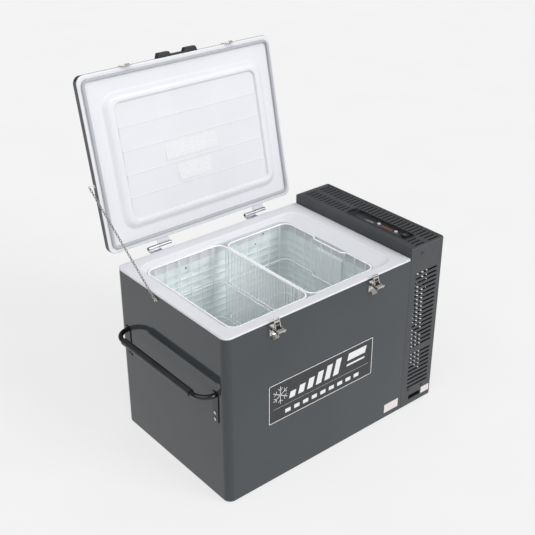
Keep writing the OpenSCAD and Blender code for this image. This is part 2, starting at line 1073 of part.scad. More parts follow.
module control_board() {
    board_z = panel_floor - 12;
    color("darkgreen") {
        box([293, 331], [-182, 28], [board_z, board_z + 1.6]);
        for (by = [-178, 24])
            bar_z([300, by, board_z + 1.6], 7.4, 3);
    }
    color("dimgray") {
        bar_z([312, -20, board_z - 18], 18, 8);
        bar_z([312, 5, board_z - 18], 18, 8);
        box([300, 324], [-100, -76], [board_z - 10, board_z]);
    }
}

module power_socket() {
    wall = 2;
    lip = 5;
    depth = 30;
    color([0.04, 0.04, 0.04])
        difference() {
            union() {
                box(
                    [socket_x[0] - lip, socket_x[1] + lip],
                    [y_f + cover_t + 0.1, y_f + depth],
                    [socket_z[0] - lip, socket_z[1] + lip]
                );
                box(socket_x, [y_f + 0.4, y_f + cover_t + 0.2], socket_z);
            }
            box(
                [socket_x[0] + wall, socket_x[1] - wall],
                [y_f - 1, y_f + depth - 6],
                [socket_z[0] + wall, socket_z[1] - wall]
            );
        }
}

// ---------- machinery ----------

module compressor() {
    mid_y = (comp_y[0] + comp_y[1]) / 2;
    color([0.1, 0.1, 0.11])
        union() {
            bar_y([bay_mid, comp_y[0], comp_z], comp_y[1] - comp_y[0], comp_r);
            for (cy = comp_y)
                translate([bay_mid, cy, comp_z])
                    sphere(comp_r);
            for (cy = mount_y)
                box([bay_mid - 46, bay_mid + 46], [cy - 9, cy + 9], [36, 50]);
            box([bay_mid - 14, bay_mid + 14], [mid_y - 20, mid_y + 20], [comp_z + 30, comp_z + 58]);
            bar_z([pipe_x, pipe_y, comp_z], stub_z - comp_z, stub_r);
            bar_z([suction_x, suction_y, comp_z], suction_stub_z - comp_z, stub_r);
        }
}

module compressor_mounts() {
    color([0.05, 0.05, 0.05])
        for (mx = mount_x)
            for (my = mount_y) {
                bar_z([mx, my, z_b + pan_t], 26.4, 8);
                bar_z([mx, my, z_b + pan_t], 8, 11);
            }
}

module condenser_coil() {
    bend_r = coil_pitch / 2;
    color("peru")
        for (i = [0 : coil_rows - 1]) {
            z = coil_z + i * coil_pitch;
            bar_x([coil_x[0], coil_y, z], coil_x[1] - coil_x[0], coil_r);
            if (i < coil_rows - 1)
                translate([coil_x[(i + 1) % 2], coil_y, z + bend_r])
                    rotate([90, 0, 0])
                        bend(bend_r, coil_r, i % 2 == 0 ? -90 : 90, 180);
        }
}

module condenser_wires() {
    r = 0.8;
    color("dimgray")
        for (dy = [-coil_r - r - 0.1, coil_r + r + 0.1])
            for (i = [0 : 9])
                bar_z([290 + i * 8, coil_y + dy, coil_z - 8], coil_pitch * (coil_rows - 1) + 16, r);
}

module fan_shroud() {
    color([0.12, 0.12, 0.12])
        difference() {
            union() {
                box([x_s + 3, x_r - cover_t - 1], [fan_y - 4, fan_y], [z_b + pan_t, 402]);
                bar_y([bay_mid, fan_y - 4, fan_z], 26, fan_r + 5);
            }
            bar_y([bay_mid, fan_y - 5, fan_z], 28, fan_r + 3);
        }
}

module fan_motor() {
    color([0.15, 0.15, 0.15])
        difference() {
            union() {
                bar_y([bay_mid, fan_y + 18, fan_z], 26, 20);
                for (a = [90, 210, 330])
                    translate([bay_mid, fan_y + 22, fan_z])
                        rotate([0, -a, 0])
                            box([15, fan_r + 4.5], [0, 3], [-3, 3]);
            }
            bar_y([bay_mid, fan_y + 17, fan_z], 20, shaft_r + running);
        }
}

module fan_rotor() {
    color([0.06, 0.06, 0.06])
        union() {
            bar_y([bay_mid, fan_y - 2, fan_z], 16, 17);
            bar_y([bay_mid, fan_y - 2, fan_z], 36, shaft_r);
            for (a = [0 : 60 : 300])
                translate([bay_mid, fan_y + 6, fan_z])
                    rotate([0, a, 0])
                        rotate([35, 0, 0])
                            box([15, fan_r], [-0.9, 0.9], [-12, 12]);
        }
}

module refrigerant_pipes() {
    bend_r = 15;
    top_row = coil_z + (coil_rows - 1) * coil_pitch;
    color("peru")
        union() {
            bar_z([pipe_x, pipe_y, stub_z], pipe_z - bend_r - stub_z, coil_r);
            translate([pipe_x, pipe_y - bend_r, pipe_z - bend_r])
                rotate([0, -90, 0])
                    bend(bend_r, coil_r, 0);
            bar_y([pipe_x, coil_y + bend_r, pipe_z], pipe_y - coil_y - 2 * bend_r, coil_r);
            translate([pipe_x, coil_y + bend_r, pipe_z - bend_r])
                rotate([0, -90, 0])
                    bend(bend_r, coil_r, -90);
            bar_z([pipe_x, coil_y, top_row + coil_r], pipe_z - bend_r - top_row - coil_r, coil_r);
            bar_x([bulkhead_x + 1.5, suction_y, suction_z], 50, coil_r);
            bar_z([suction_x, suction_y, suction_stub_z], suction_z - suction_stub_z, coil_r);
            translate([suction_x, suction_y, suction_z])
                sphere(coil_r);
        }
}

// ---------- baskets ----------

// The outline of a basket, with an optional notch in its right side
module basket_outline(b, inset, notch) {
    difference() {
        round_rect([b[0] + inset, b[1] - inset], [b[2] + inset, b[3] - inset], basket_r - inset);
        if (notch)
            translate([b[1] - notch_in - inset, notch_y[0] - inset])
                square([notch_in + inset + 1, notch_y[1] - notch_y[0] + 2 * inset]);
    }
}

// Even gaps between a number of wires along one side
function gap_starts(from, to, n) = [for (i = [0 : n - 1]) from + i * (to - from + wire) / n];

module basket(b, notch, nx, ny) {
    tiers = [basket_floor + wire + 2, each ring_z, basket_top - 5];
    side_x = [b[0] + basket_r, b[1] - basket_r - (notch ? 2 : 0)];
    side_y = [b[2] + basket_r, b[3] - basket_r];
    gap_x = (side_x[1] - side_x[0] + wire) / nx - wire;
    gap_y = (side_y[1] - side_y[0] + wire) / ny - wire;
    color("white")
        difference() {
            translate([0, 0, basket_floor])
                linear_extrude(basket_top - basket_floor)
                    basket_outline(b, 0, notch);
            translate([0, 0, basket_floor + wire])
                linear_extrude(basket_top - basket_floor)
                    basket_outline(b, wire, notch);
            for (t = [0 : len(tiers) - 2]) {
                z = [tiers[t] + (t > 0 ? wire : 0), tiers[t + 1]];
                for (sx = gap_starts(side_x[0], side_x[1], nx))
                    box([sx, sx + gap_x], [b[2] - 1, b[3] + 1], z);
                for (sy = gap_starts(side_y[0], side_y[1], ny))
                    box([b[0] - 1, b[1] + 1], [sy, sy + gap_y], z);
            }
            for (sx = gap_starts(side_x[0], side_x[1], nx))
                for (sy = gap_starts(side_y[0], side_y[1], ny))
                    box([sx, sx + gap_x], [sy, sy + gap_y], [basket_floor - 1, basket_floor + wire + 1]);
        }
}

module basket_left() {
    basket(basket_a, false, 5, 8);
}

module basket_right() {
    basket(basket_b, true, 5, 8);
}

outer_cabinet();
base_pan();
bulkhead();
foam_insulation();
inner_liner();
evaporator_sheet();
sensor_cover();
top_rim();
rubber_feet();
foot_bushes();
front_badge();
rating_labels();
hinge_leaves_cabinet();
hinge_pins();
hinge_leaves_lid();
hinge_screws();
lid_outer_skin();
lid_foam();
lid_liner();
lid_gasket();
lid_handle();
lid_stickers();
latch_keepers();
lid_chain_stud();
chain_anchor();
chain_lower();
chain_turn_a();
chain_turn_b();
chain_upper();
latch_bases();
latch_screws();
latch_lever_left();
latch_lever_right();
latch_loop_left();
latch_loop_right();
handle_bar_left();
handle_bar_right();
handle_grip_left();
handle_grip_right();
handle_rivets();
bay_cover();
cover_screws();
control_panel();
display_window();
button_up();
button_down();
power_switch();
control_board();
power_socket();
compressor();
compressor_mounts();
condenser_coil();
condenser_wires();
fan_shroud();
fan_motor();
fan_rotor();
refrigerant_pipes();
basket_left();
basket_right();
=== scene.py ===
"""Compressor cooler fridge: the looks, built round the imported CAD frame.

Metres throughout. +X runs along the fridge to the machine bay, +Y to the hinges, +Z up.
The lid stands open at rest, so its pieces are drawn shut and then turned about the hinge.
"""

import json
import math

import bmesh
import bpy
from mathutils import Matrix, Vector


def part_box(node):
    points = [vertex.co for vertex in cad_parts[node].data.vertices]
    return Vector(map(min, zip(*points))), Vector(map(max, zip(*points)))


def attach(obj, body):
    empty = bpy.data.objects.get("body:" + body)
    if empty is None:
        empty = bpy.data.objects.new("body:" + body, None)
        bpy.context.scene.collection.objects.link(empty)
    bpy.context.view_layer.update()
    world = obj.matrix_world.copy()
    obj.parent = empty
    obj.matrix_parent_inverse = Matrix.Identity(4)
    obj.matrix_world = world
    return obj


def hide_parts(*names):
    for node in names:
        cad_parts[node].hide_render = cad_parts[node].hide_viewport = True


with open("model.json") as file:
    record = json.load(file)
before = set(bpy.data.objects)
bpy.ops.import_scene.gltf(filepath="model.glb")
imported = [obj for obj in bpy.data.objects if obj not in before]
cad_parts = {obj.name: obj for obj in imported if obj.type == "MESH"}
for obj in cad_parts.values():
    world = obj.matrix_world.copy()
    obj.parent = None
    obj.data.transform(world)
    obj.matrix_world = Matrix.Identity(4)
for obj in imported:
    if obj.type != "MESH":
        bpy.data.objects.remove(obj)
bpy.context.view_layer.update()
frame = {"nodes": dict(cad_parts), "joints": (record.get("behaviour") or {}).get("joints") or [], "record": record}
MM = 0.001

# ---------------------------------------------------------------- places taken from the frame

cabinet_low, cabinet_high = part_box("outer_cabinet")
rim_low, rim_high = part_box("top_rim")
liner_low, liner_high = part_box("inner_liner")
cover_low, cover_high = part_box("bay_cover")
panel_low, panel_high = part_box("control_panel")
badge_low, badge_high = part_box("front_badge")
display_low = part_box("display_window")[0]
switch_low, switch_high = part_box("power_switch")

hinge = next(j for j in frame["joints"] if j["name"] == "lid_hinge")
hinge_point = Vector(hinge["pos_m"])
lid_angle = math.radians(hinge["range_deg"][1])
open_lid = (
    Matrix.Translation(hinge_point)
    @ Matrix.Rotation(-lid_angle, 4, "X")
    @ Matrix.Translation(-hinge_point)
)
close_lid = open_lid.inverted()


def shut_box(node):
    """Lowest and highest corner of a lid node as it would lie with the lid shut."""
    points = [close_lid @ v.co for v in frame["nodes"][node].data.vertices]
    low = Vector(min(p[i] for p in points) for i in range(3))
    high = Vector(max(p[i] for p in points) for i in range(3))
    return low, high


# Degrees that a latch's lever and loop are turned from upright at rest
LEVER_OPEN = 75
LOOP_LEAN = 19
# Wall of the tub, its corner radius, the cabinet's corner radius and the steel sheet
LINER_WALL = 2.5 * MM
MOUTH_R = 34 * MM
CORNER_R = 22 * MM
SHEET = 1.2 * MM
# Heights of the basket hoops, and the places (x, z) of the screws in the tub's back wall
HOOPS = (0.394, 0.274, 0.154)
TUB_SCREWS = ((-0.204, 0.475), (0.050, 0.4675), (0.080, 0.493))
# The right basket's rim steps in between these two places
RIM_NOTCH = (-0.082, 0.039)
# Louvres of the bay cover: spans of each group, height of the top row, spacings and half width
FRONT_LOUVRES = (0.283, 0.372)
SIDE_LOUVRES = ((-0.194, -0.110), (-0.092, -0.008), (0.010, 0.094), (0.112, 0.182))
OUTER_LOUVRES = (0.331 + 8 * MM, 0.381)
INNER_LOUVRES = (0.286, 0.322)
LOUVRE_TOP = 454 * MM
LOUVRE_DROP = 14.4 * MM
LOUVRE_ROWS = 28
LOUVRE_GAP_ROW = 18
TOP_LOUVRES = 31
TOP_LOUVRE_START = -230 * MM
TOP_LOUVRE_STEP = 15 * MM
LOUVRE_HALF = 3.3 * MM
SOCKET_X = (0.2927, 0.3453)
SOCKET_Z = (0.0247, 0.0413)

# The camera, and the light: sky levels, the floor's glow and the soft suns
CAMERA_PLACE = (-1.572, -1.819, 1.788)
CAMERA_TILT = 61.5
CAMERA_TURN = -39.77
CAMERA_LENS = 65.3
FLOOR_HALF = 45
BRIGHT_SIDE = (0.35, -0.45, 0.82)
DIM_LEVEL = 0.07
BRIGHT_LEVEL = 0.5
FLOOR_GLOW = 0.70
HORIZON_LEVEL = 0.88
LAMPS = (
    ("key", (-0.35, 0.85, -0.55), 1.75, 30),
    ("fill", (0.5, 0.15, -0.85), 1.1, 60),
)

# ---------------------------------------------------------------- outlines and solids


def arc_points(cx, cy, r, start, sweep, steps):
    """Points on an arc about (cx, cy); start and sweep are in degrees."""
    angles = [math.radians(start + sweep * k / steps) for k in range(steps + 1)]
    return [(cx + r * math.cos(a), cy + r * math.sin(a)) for a in angles]


class Outline:
    """A rectangle with its own radius at each corner: front left, front right, back right, back left."""

    def __init__(self, x0, x1, y0, y1, radii):
        self.edges = (x0, x1, y0, y1)
        self.radii = tuple(radii) if isinstance(radii, (tuple, list)) else (radii,) * 4

    def grow(self, d, least=0.5 * MM):
        """The outline moved outwards by d; least is the smallest radius it may get."""
        x0, x1, y0, y1 = self.edges
        radii = [max(r + d, least) for r in self.radii]
        return Outline(x0 - d, x1 + d, y0 - d, y1 + d, radii)

    def mix(self, other, t):
        """The outline at share t of the way to another."""
        edges = [a + (b - a) * t for a, b in zip(self.edges, other.edges)]
        radii = [a + (b - a) * t for a, b in zip(self.radii, other.radii)]
        return Outline(*edges, radii)

    def points(self, arc=8, along_x=1, along_y=1):
        """Anticlockwise points seen from above, starting on the front side."""
        x0, x1, y0, y1 = self.edges
        fl, fr, br, bl = self.radii
        corners = [
            (x1 - fr, y0 + fr, fr, -90, along_y),
            (x1 - br, y1 - br, br, 0, along_x),
            (x0 + bl, y1 - bl, bl, 90, along_y),
            (x0 + fl, y0 + fl, fl, 180, along_x),
        ]
        arcs = [
            arc_points(cx, cy, r, start, 90, arc)
            for cx, cy, r, start, parts in corners
        ]
        found = []
        for run, ahead, corner in zip(arcs, arcs[1:] + arcs[:1], corners):
            found += run
            parts = corner[-1]
            for k in range(1, parts):
                t = k / parts
                found.append(tuple(a + (b - a) * t for a, b in zip(run[-1], ahead[0])))
        return found


def ring(outline, z, **spacing):
    """The outline's points at one height."""
    return [(x, y, z) for x, y in outline.points(**spacing)]


def stack(levels, **spacing):
    """One ring for each (outline, height) pair."""
    return [ring(outline, z, **spacing) for outline, z in levels]


def rolled_edge(outline, top, roll, steps):
    """(outline, height) pairs that roll a wall over into a top."""
    turns = [math.pi / 2 * k / steps for k in range(steps + 1)]
    return [(outline.grow(-roll * (1 - math.cos(a))), top - roll * (1 - math.sin(a))) for a in turns]


def grown(outline, z, pairs):
    """(outline, height) pairs from pairs of growth and rise in millimetres."""
    return [(outline.grow(d * MM), z + h * MM) for d, h in pairs]


def plate(levels, arc):
    """A closed solid from (outline, height) pairs."""
    return loft(stack(levels, arc=arc), first=True, last=True)


def grid_slab(rows, back):
    """A thick sheet: quads through a grid of points, the same grid moved by back, and the edge between."""
    width, depth = len(rows[0]), len(rows)
    verts = [p for row in rows for p in row]
    start = len(verts)
    faces = []
    for k in range(depth - 1):
        for i in range(width - 1):
            a = k * width + i
            faces.append((a, a + 1, a + width + 1, a + width))
    verts += [back(p) for p in verts]
    faces += [tuple(reversed([i + start for i in f])) for f in faces]
    edge = list(range(width))
    edge += [k * width + width - 1 for k in range(1, depth)]
    edge += [(depth - 1) * width + i for i in range(width - 2, -1, -1)]
    edge += [k * width for k in range(depth - 2, 0, -1)]
    faces += [(b, a, a + start, b + start) for a, b in zip(edge, edge[1:] + edge[:1])]
    return verts, faces


def loft(rings, first=False, last=False, loop=False):
    """Quads through rings of equally many points; first and last close the ends."""
    count = len(rings[0])
    verts = [p for one in rings for p in one]
    faces = []
    for k in range(len(rings) if loop else len(rings) - 1):
        a, b = k * count, (k + 1) % len(rings) * count
        for i in range(count):
            j = (i + 1) % count
            faces.append((a + i, a + j, b + j, b + i))
    if first:
        faces.append(tuple(reversed(range(count))))
    if last:
        faces.append(tuple(range(len(verts) - count, len(verts))))
    return verts, faces


def tube(path, radius, sides=8, closed=False):
    """A round wire along a path; its frame turns as little as it can from point to point."""
    path = [Vector(p) for p in path]
    n = len(path)
    ahead = []
    for i in range(n):
        a = path[i - 1] if closed or i else path[0]
        b = path[(i + 1) % n] if closed or i < n - 1 else path[-1]
        ahead.append((b - a).normalized())
    side = ahead[0].orthogonal().normalized()
    rings = []
    for i in range(n):
        side = (side - ahead[i] * side.dot(ahead[i])).normalized()
        up = ahead[i].cross(side)
        rings.append(
            [
                path[i] + radius * (side * math.cos(t) + up * math.sin(t))
                for t in (2 * math.pi * k / sides for k in range(sides))
            ]
        )
    return loft(rings, first=not closed, last=not closed, loop=closed)


def rounded_path(points, radius, steps=5, closed=False):
    """The same path with its corners turned into arcs."""
    points = [Vector(p) for p in points]
    n = len(points)
    out = []
    for i, p in enumerate(points):
        if not closed and i in (0, n - 1):
            out.append(p)
            continue
        before, after = points[i - 1] - p, points[(i + 1) % n] - p
        half = before.angle(after) / 2
        reach = min(radius / math.tan(half), before.length * 0.49, after.length * 0.49)
        a, b = p + before.normalized() * reach, p + after.normalized() * reach
        for k in range(steps + 1):
            t = k / steps
            out.append(a.lerp(p, t).lerp(p.lerp(b, t), t))
    return out


def lathe(profile, steps=24):
    """Turns a profile of (radius, height) pairs about +Z; radius 0 closes an end."""
    rings = [
        [(r * math.cos(t), r * math.sin(t), h) for t in (2 * math.pi * k / steps for k in range(steps))]
        for r, h in profile
    ]
    return loft(rings, first=True, last=True)


def soft_box(low, high, radius, steps=2):
    """A box with rounded edges."""
    bm = bmesh.new()
    bmesh.ops.create_cube(bm, size=1)
    size = Vector(high) - Vector(low)
    middle = (Vector(high) + Vector(low)) / 2
    for v in bm.verts:
        v.co = Vector(a * b for a, b in zip(v.co, size)) + middle
    bmesh.ops.bevel(bm, geom=bm.edges[:], offset=radius, segments=steps, profile=0.5, affect="EDGES")
    bm.verts.index_update()
    verts = [v.co.copy() for v in bm.verts]
    faces = [tuple(v.index for v in f.verts) for f in bm.faces]
    bm.free()
    return verts, faces


class Shape:
    """Collects solids into the mesh of one piece."""

    def __init__(self):
        self.verts = []
        self.faces = []
        self.slots = []

    def add(self, solid, place=None, material=0):
        """Adds a solid, moved by place, in one of the piece's materials."""
        verts, faces = solid
        start = len(self.verts)
        self.verts += [place @ Vector(v) if place else Vector(v) for v in verts]
        self.faces += [tuple(i + start for i in f) for f in faces]
        self.slots += [material] * len(faces)
        return self

    def piece(self, name, body, materials, slot=None, replaces=(), turn=None, angle=40, flat=True):
        """Makes the piece; turn is a last move, such as the lid's swing."""
        mesh = bpy.data.meshes.new(name)
        mesh.from_pydata([tuple(v) for v in self.verts], [], self.faces)
        mesh.polygons.foreach_set("material_index", self.slots)
        return settle(linked(name, mesh), body, materials, replaces, turn, angle, flat)


def linked(name, data):
    """A new object in the scene."""
    obj = bpy.data.objects.new(name, data)
    bpy.context.scene.collection.objects.link(obj)
    return obj


def remake(mesh, work):
    """Runs work on the mesh as a bmesh and writes the result back."""
    bm = bmesh.new()
    bm.from_mesh(mesh)
    work(bm)
    bm.to_mesh(mesh)
    bm.free()


def face_outwards(bm):
    """Turns every face outwards."""
    bmesh.ops.recalc_face_normals(bm, faces=bm.faces[:])


def weigh_normals(obj):
    """Keeps large faces flat in the shading."""
    obj.modifiers.new("weighted", "WEIGHTED_NORMAL").keep_sharp = True


def settle(obj, body, materials, replaces=(), turn=None, angle=40, flat=True):
    """Finishes a piece: normals, shading, materials, and the body that it rides on."""
    mesh = obj.data
    remake(mesh, face_outwards)
    if turn:
        mesh.transform(turn)
    mesh.polygons.foreach_set("use_smooth", [True] * len(mesh.polygons))
    mesh.set_sharp_from_angle(angle=math.radians(angle))
    if flat:
        weigh_normals(obj)
    for m in materials if isinstance(materials, (list, tuple)) else [materials]:
        mesh.materials.append(m)
    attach(obj, body)
    if replaces:
        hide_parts(*replaces)
    return obj


def body_of_node(node):
    """The body that a CAD node belongs to."""
    return next(b for b, nodes in frame["record"]["behaviour"]["bodies"].items() if node in nodes)


def eased(node, name, material, width, sharp=25):
    """A copy of a CAD node with its hard edges eased, in that node's place."""
    mesh = frame["nodes"][node].data.copy()
    mesh.name = name
    mesh.materials.clear()

    def ease(bm):
        bmesh.ops.remove_doubles(bm, verts=bm.verts[:], dist=0.002 * MM)
        bmesh.ops.dissolve_limit(bm, angle_limit=math.radians(0.2), verts=bm.verts[:], edges=bm.edges[:])
        hard = [
            e for e in bm.edges
            if len(e.link_faces) == 2 and e.calc_face_angle(0) > math.radians(sharp)
        ]
        bmesh.ops.bevel(
            bm, geom=hard, offset=width, segments=2, profile=0.5, affect="EDGES", clamp_overlap=True
        )

    remake(mesh, ease)
    return settle(linked(name, mesh), body_of_node(node), material, [node])


def keep(node, material):
    """A CAD node that stays, with a finished material."""
    mesh = frame["nodes"][node].data
    mesh.materials.clear()
    mesh.materials.append(material)


# ---------------------------------------------------------------- materials


def put(node, values):
    """Sets a node's inputs by name."""
    for name, value in values.items():
        node.inputs[name].default_value = value


class Nodes:
    """A material's node tree, with short ways to make what the finishes here need."""

    def __init__(self, name, color, roughness, metallic=0.0, coat=0.0, coat_roughness=0.05):
        self.material = bpy.data.materials.new(name)
        self.material.use_nodes = True
        self.tree = self.material.node_tree
        self.shader = self.tree.nodes["Principled BSDF"]
        put(self.shader, {
            "Base Color": (*color, 1), "Roughness": roughness, "Metallic": metallic,
            "Coat Weight": coat, "Coat Roughness": coat_roughness,
        })
        self.place = self.tree.nodes.new("ShaderNodeTexCoord").outputs["Object"]
        self.normal = None

    def link(self, a, b):
        """Joins an output to an input."""
        self.tree.links.new(a, b)

    def stretched(self, stretch):
        """The object's coordinates, scaled along each axis."""
        node = self.tree.nodes.new("ShaderNodeMapping")
        put(node, {"Scale": stretch})
        self.link(self.place, node.inputs["Vector"])
        return node.outputs["Vector"]

    def noise(self, scale, detail=3, stretch=None):
        """Soft noise."""
        node = self.tree.nodes.new("ShaderNodeTexNoise")
        put(node, {"Scale": scale, "Detail": detail, "Roughness": 0.5})
        self.link(self.stretched(stretch) if stretch else self.place, node.inputs["Vector"])
        return node.outputs["Fac"]

    def cells(self, scale):
        """Rounded cells."""
        node = self.tree.nodes.new("ShaderNodeTexVoronoi")
        put(node, {"Scale": scale})
        self.link(self.place, node.inputs["Vector"])
        return node.outputs["Distance"]

    def tint(self, value, low, high):
        """Lets the colour drift between low and high."""
        node = self.tree.nodes.new("ShaderNodeValToRGB")
        for stop, position, color in zip(node.color_ramp.elements, (0.35, 0.65), (low, high)):
            stop.position = position
            stop.color = (*color, 1)
        self.link(value, node.inputs["Fac"])
        self.link(node.outputs["Color"], self.shader.inputs["Base Color"])

    def rough(self, value, low, high):
        """Lets the roughness drift between low and high."""
        node = self.tree.nodes.new("ShaderNodeMapRange")
        put(node, {"From Min": 0.3, "From Max": 0.7, "To Min": low, "To Max": high})
        self.link(value, node.inputs["Value"])
        self.link(node.outputs["Result"], self.shader.inputs["Roughness"])

    def bump(self, value, strength, distance):
        """Adds relief on top of any before it."""
        node = self.tree.nodes.new("ShaderNodeBump")
        put(node, {"Strength": strength, "Distance": distance})
        self.link(value, node.inputs["Height"])
        if self.normal:
            self.link(self.normal, node.inputs["Normal"])
        self.normal = node.outputs["Normal"]
        self.link(self.normal, self.shader.inputs["Normal"])


def shade(color, factor):
    """The colour made darker or lighter."""
    return tuple(c * factor for c in color)


def paint(name, color, roughness, peel=0.05, coat=0.0, specular=0.5):
    """Sprayed and baked enamel: faint orange peel and a little dust in the gloss."""
    n = Nodes(name, color, roughness, coat=coat, coat_roughness=0.04)
    n.tint(n.noise(5, 4), shade(color, 0.95), shade(color, 1.05))
    n.rough(n.noise(14, 5), roughness * 0.85, roughness * 1.25)
    n.bump(n.noise(190, 2), peel, 0.2 * MM)
    put(n.shader, {"Specular IOR Level": specular})
    return n.material


def moulded(name, color, roughness, grain=700, depth=0.12, coat=0.0, drift=0.05):
    """Injection-moulded plastic: fine spark-eroded grain and slight flow marks."""
    n = Nodes(name, color, roughness, coat=coat)
    n.tint(n.noise(9, 4, stretch=(1, 1, 0.5)), shade(color, 1 - drift), shade(color, 1 + drift))
    n.rough(n.noise(30, 4), roughness * 0.88, roughness * 1.12)
    n.bump(n.cells(grain), depth, 0.15 * MM)
    n.bump(n.noise(55, 2), 0.05, 0.3 * MM)
    return n.material


def metal(name, color, roughness, brush=(1, 1, 1), scratch=0.1):
    """Bare or plated metal: brushed along one direction, with finer scratches over it."""
    n = Nodes(name, color, roughness, metallic=1.0)
    n.tint(n.noise(60, 5), shade(color, 0.86), color)
    n.rough(n.noise(120, 6, stretch=brush), roughness * 0.65, roughness * 1.5)
    n.bump(n.noise(900, 4, stretch=brush), scratch, 0.05 * MM)
    return n.material


def rubber(name, color, roughness=0.7):
    """Dull rubber with a fine, uneven grain."""
    n = Nodes(name, color, roughness)
    n.tint(n.noise(25, 5), shade(color, 0.85), shade(color, 1.2))
    n.rough(n.noise(80, 4), roughness * 0.85, min(roughness * 1.15, 1))
    n.bump(n.noise(500, 4), 0.2, 0.2 * MM)
    return n.material


def enamel_mint():
    """The tub: glossy pale sheet with a cool tint and slight waves."""
    n = Nodes("tub_enamel", (0.80, 0.87, 0.875), 0.2, coat=0.5, coat_roughness=0.1)
    n.tint(n.noise(18, 5, stretch=(1, 1, 3)), (0.77, 0.85, 0.855), (0.83, 0.89, 0.895))
    n.rough(n.noise(40, 4), 0.15, 0.28)
    n.bump(n.noise(22, 3, stretch=(1, 1, 1.6)), 0.12, 1.2 * MM)
    return n.material


def insulation_foam():
    """Yellow foam with an open skin."""
    n = Nodes("polyurethane_foam", (0.70, 0.60, 0.34), 0.9)
    n.tint(n.noise(60, 6), (0.62, 0.52, 0.28), (0.76, 0.67, 0.42))
    n.bump(n.cells(420), 0.5, 0.8 * MM)
    return n.material


def circuit_board():
    """Green lacquer over small raised shapes."""
    n = Nodes("board_lacquer", (0.02, 0.12, 0.05), 0.35, coat=0.3)
    n.tint(n.cells(160), (0.015, 0.10, 0.04), (0.05, 0.2, 0.09))
    n.bump(n.cells(160), 0.3, 0.2 * MM)
    return n.material


def printed_label(name, paper, ink, rows, along):
    """A label with plain ruled rows, which say nothing: rows per metre up, and breaks along the row."""
    n = Nodes(name, paper, 0.45)
    brick = n.tree.nodes.new("ShaderNodeTexBrick")
    brick.offset = 0.37
    put(brick, {
        "Scale": 1, "Color1": (*ink, 1), "Color2": (*shade(ink, 1.25), 1), "Mortar": (*paper, 1),
        "Mortar Size": 0.34 / rows, "Mortar Smooth": 0.1, "Row Height": 1 / rows, "Brick Width": 1 / along,
    })
    split = n.tree.nodes.new("ShaderNodeSeparateXYZ")
    join = n.tree.nodes.new("ShaderNodeCombineXYZ")
    n.link(n.place, split.inputs["Vector"])
    n.link(split.outputs["X"], join.inputs["X"])
    n.link(split.outputs["Z"], join.inputs["Y"])
    n.link(join.outputs["Vector"], brick.inputs["Vector"])
    n.bump(n.noise(300, 3), 0.05, 0.05 * MM)
    n.link(brick.outputs["Color"], n.shader.inputs["Base Color"])
    return n.material


STEEL = paint("charcoal_enamel", (0.046, 0.052, 0.057), 0.07, peel=0.02, specular=0.38)
COVER = moulded("cover_plastic", (0.044, 0.047, 0.052), 0.5, grain=650, depth=0.2)
PANEL = moulded("panel_plastic", (0.034, 0.035, 0.039), 0.36, grain=900, depth=0.08)
WHITE = moulded("white_moulding", (0.71, 0.715, 0.745), 0.36, grain=800, depth=0.04, drift=0.012)
TUB = enamel_mint()
PROBE = moulded("probe_cover_plastic", (0.80, 0.86, 0.87), 0.35, depth=0.05, drift=0.03)
GASKET = moulded("gasket_vinyl", (0.40, 0.41, 0.44), 0.5, grain=400, depth=0.1, drift=0.02)
COATING = moulded("wire_coating", (0.93, 0.95, 0.96), 0.2, grain=300, depth=0.03, coat=0.5)
NICKEL = metal("bright_nickel", (0.64, 0.61, 0.575), 0.09, scratch=0.1)
# Dark nickel for the levers' webs: painted shade on a part that is plated bright like the rest of the latch
SHADE_NICKEL = metal("nickel_painted_shade", (0.085, 0.078, 0.074), 0.22, scratch=0.12)
CHAIN = metal("chain_nickel", (0.40, 0.39, 0.385), 0.24, scratch=0.15)
ZINC = metal("zinc_plate", (0.55, 0.56, 0.585), 0.34, brush=(0.15, 1, 1), scratch=0.2)
ENAMEL = paint("black_enamel", (0.008, 0.008, 0.009), 0.1, peel=0.02)
GRIP = rubber("grip_rubber", (0.022, 0.022, 0.023), 0.36)
RUBBER = rubber("foot_rubber", (0.014, 0.014, 0.014))
BLACK = moulded("black_plastic", (0.012, 0.012, 0.013), 0.38, depth=0.1)
BADGE = moulded("badge_film", (0.020, 0.021, 0.023), 0.45, depth=0.03)
INK = moulded("white_ink", (0.70, 0.71, 0.72), 0.4, depth=0.02, drift=0.02)
FOAM = insulation_foam()
BOARD = circuit_board()
ALUMINIUM = metal("rolled_aluminium", (0.70, 0.71, 0.73), 0.38, brush=(1, 0.08, 1), scratch=0.15)
PAN = metal("galvanised_sheet", (0.42, 0.43, 0.45), 0.45, brush=(0.3, 1, 1), scratch=0.25)
MACHINE = paint("machine_enamel", (0.010, 0.010, 0.011), 0.32, peel=0.2)
COPPER = metal("copper_tube", (0.62, 0.30, 0.17), 0.3, scratch=0.15)
BUTTON = moulded("button_plastic", (0.62, 0.63, 0.66), 0.3, depth=0.04, coat=0.3)
DISPLAY = paint("display_glass", (0.13, 0.035, 0.022), 0.12, peel=0.01, coat=0.6)
LABEL = printed_label("rating_label", (0.72, 0.70, 0.70), (0.52, 0.34, 0.34), 260, 120)
STICKER = printed_label("lid_sticker", (0.745, 0.75, 0.765), (0.60, 0.61, 0.63), 230, 130)

# ---------------------------------------------------------------- cabinet


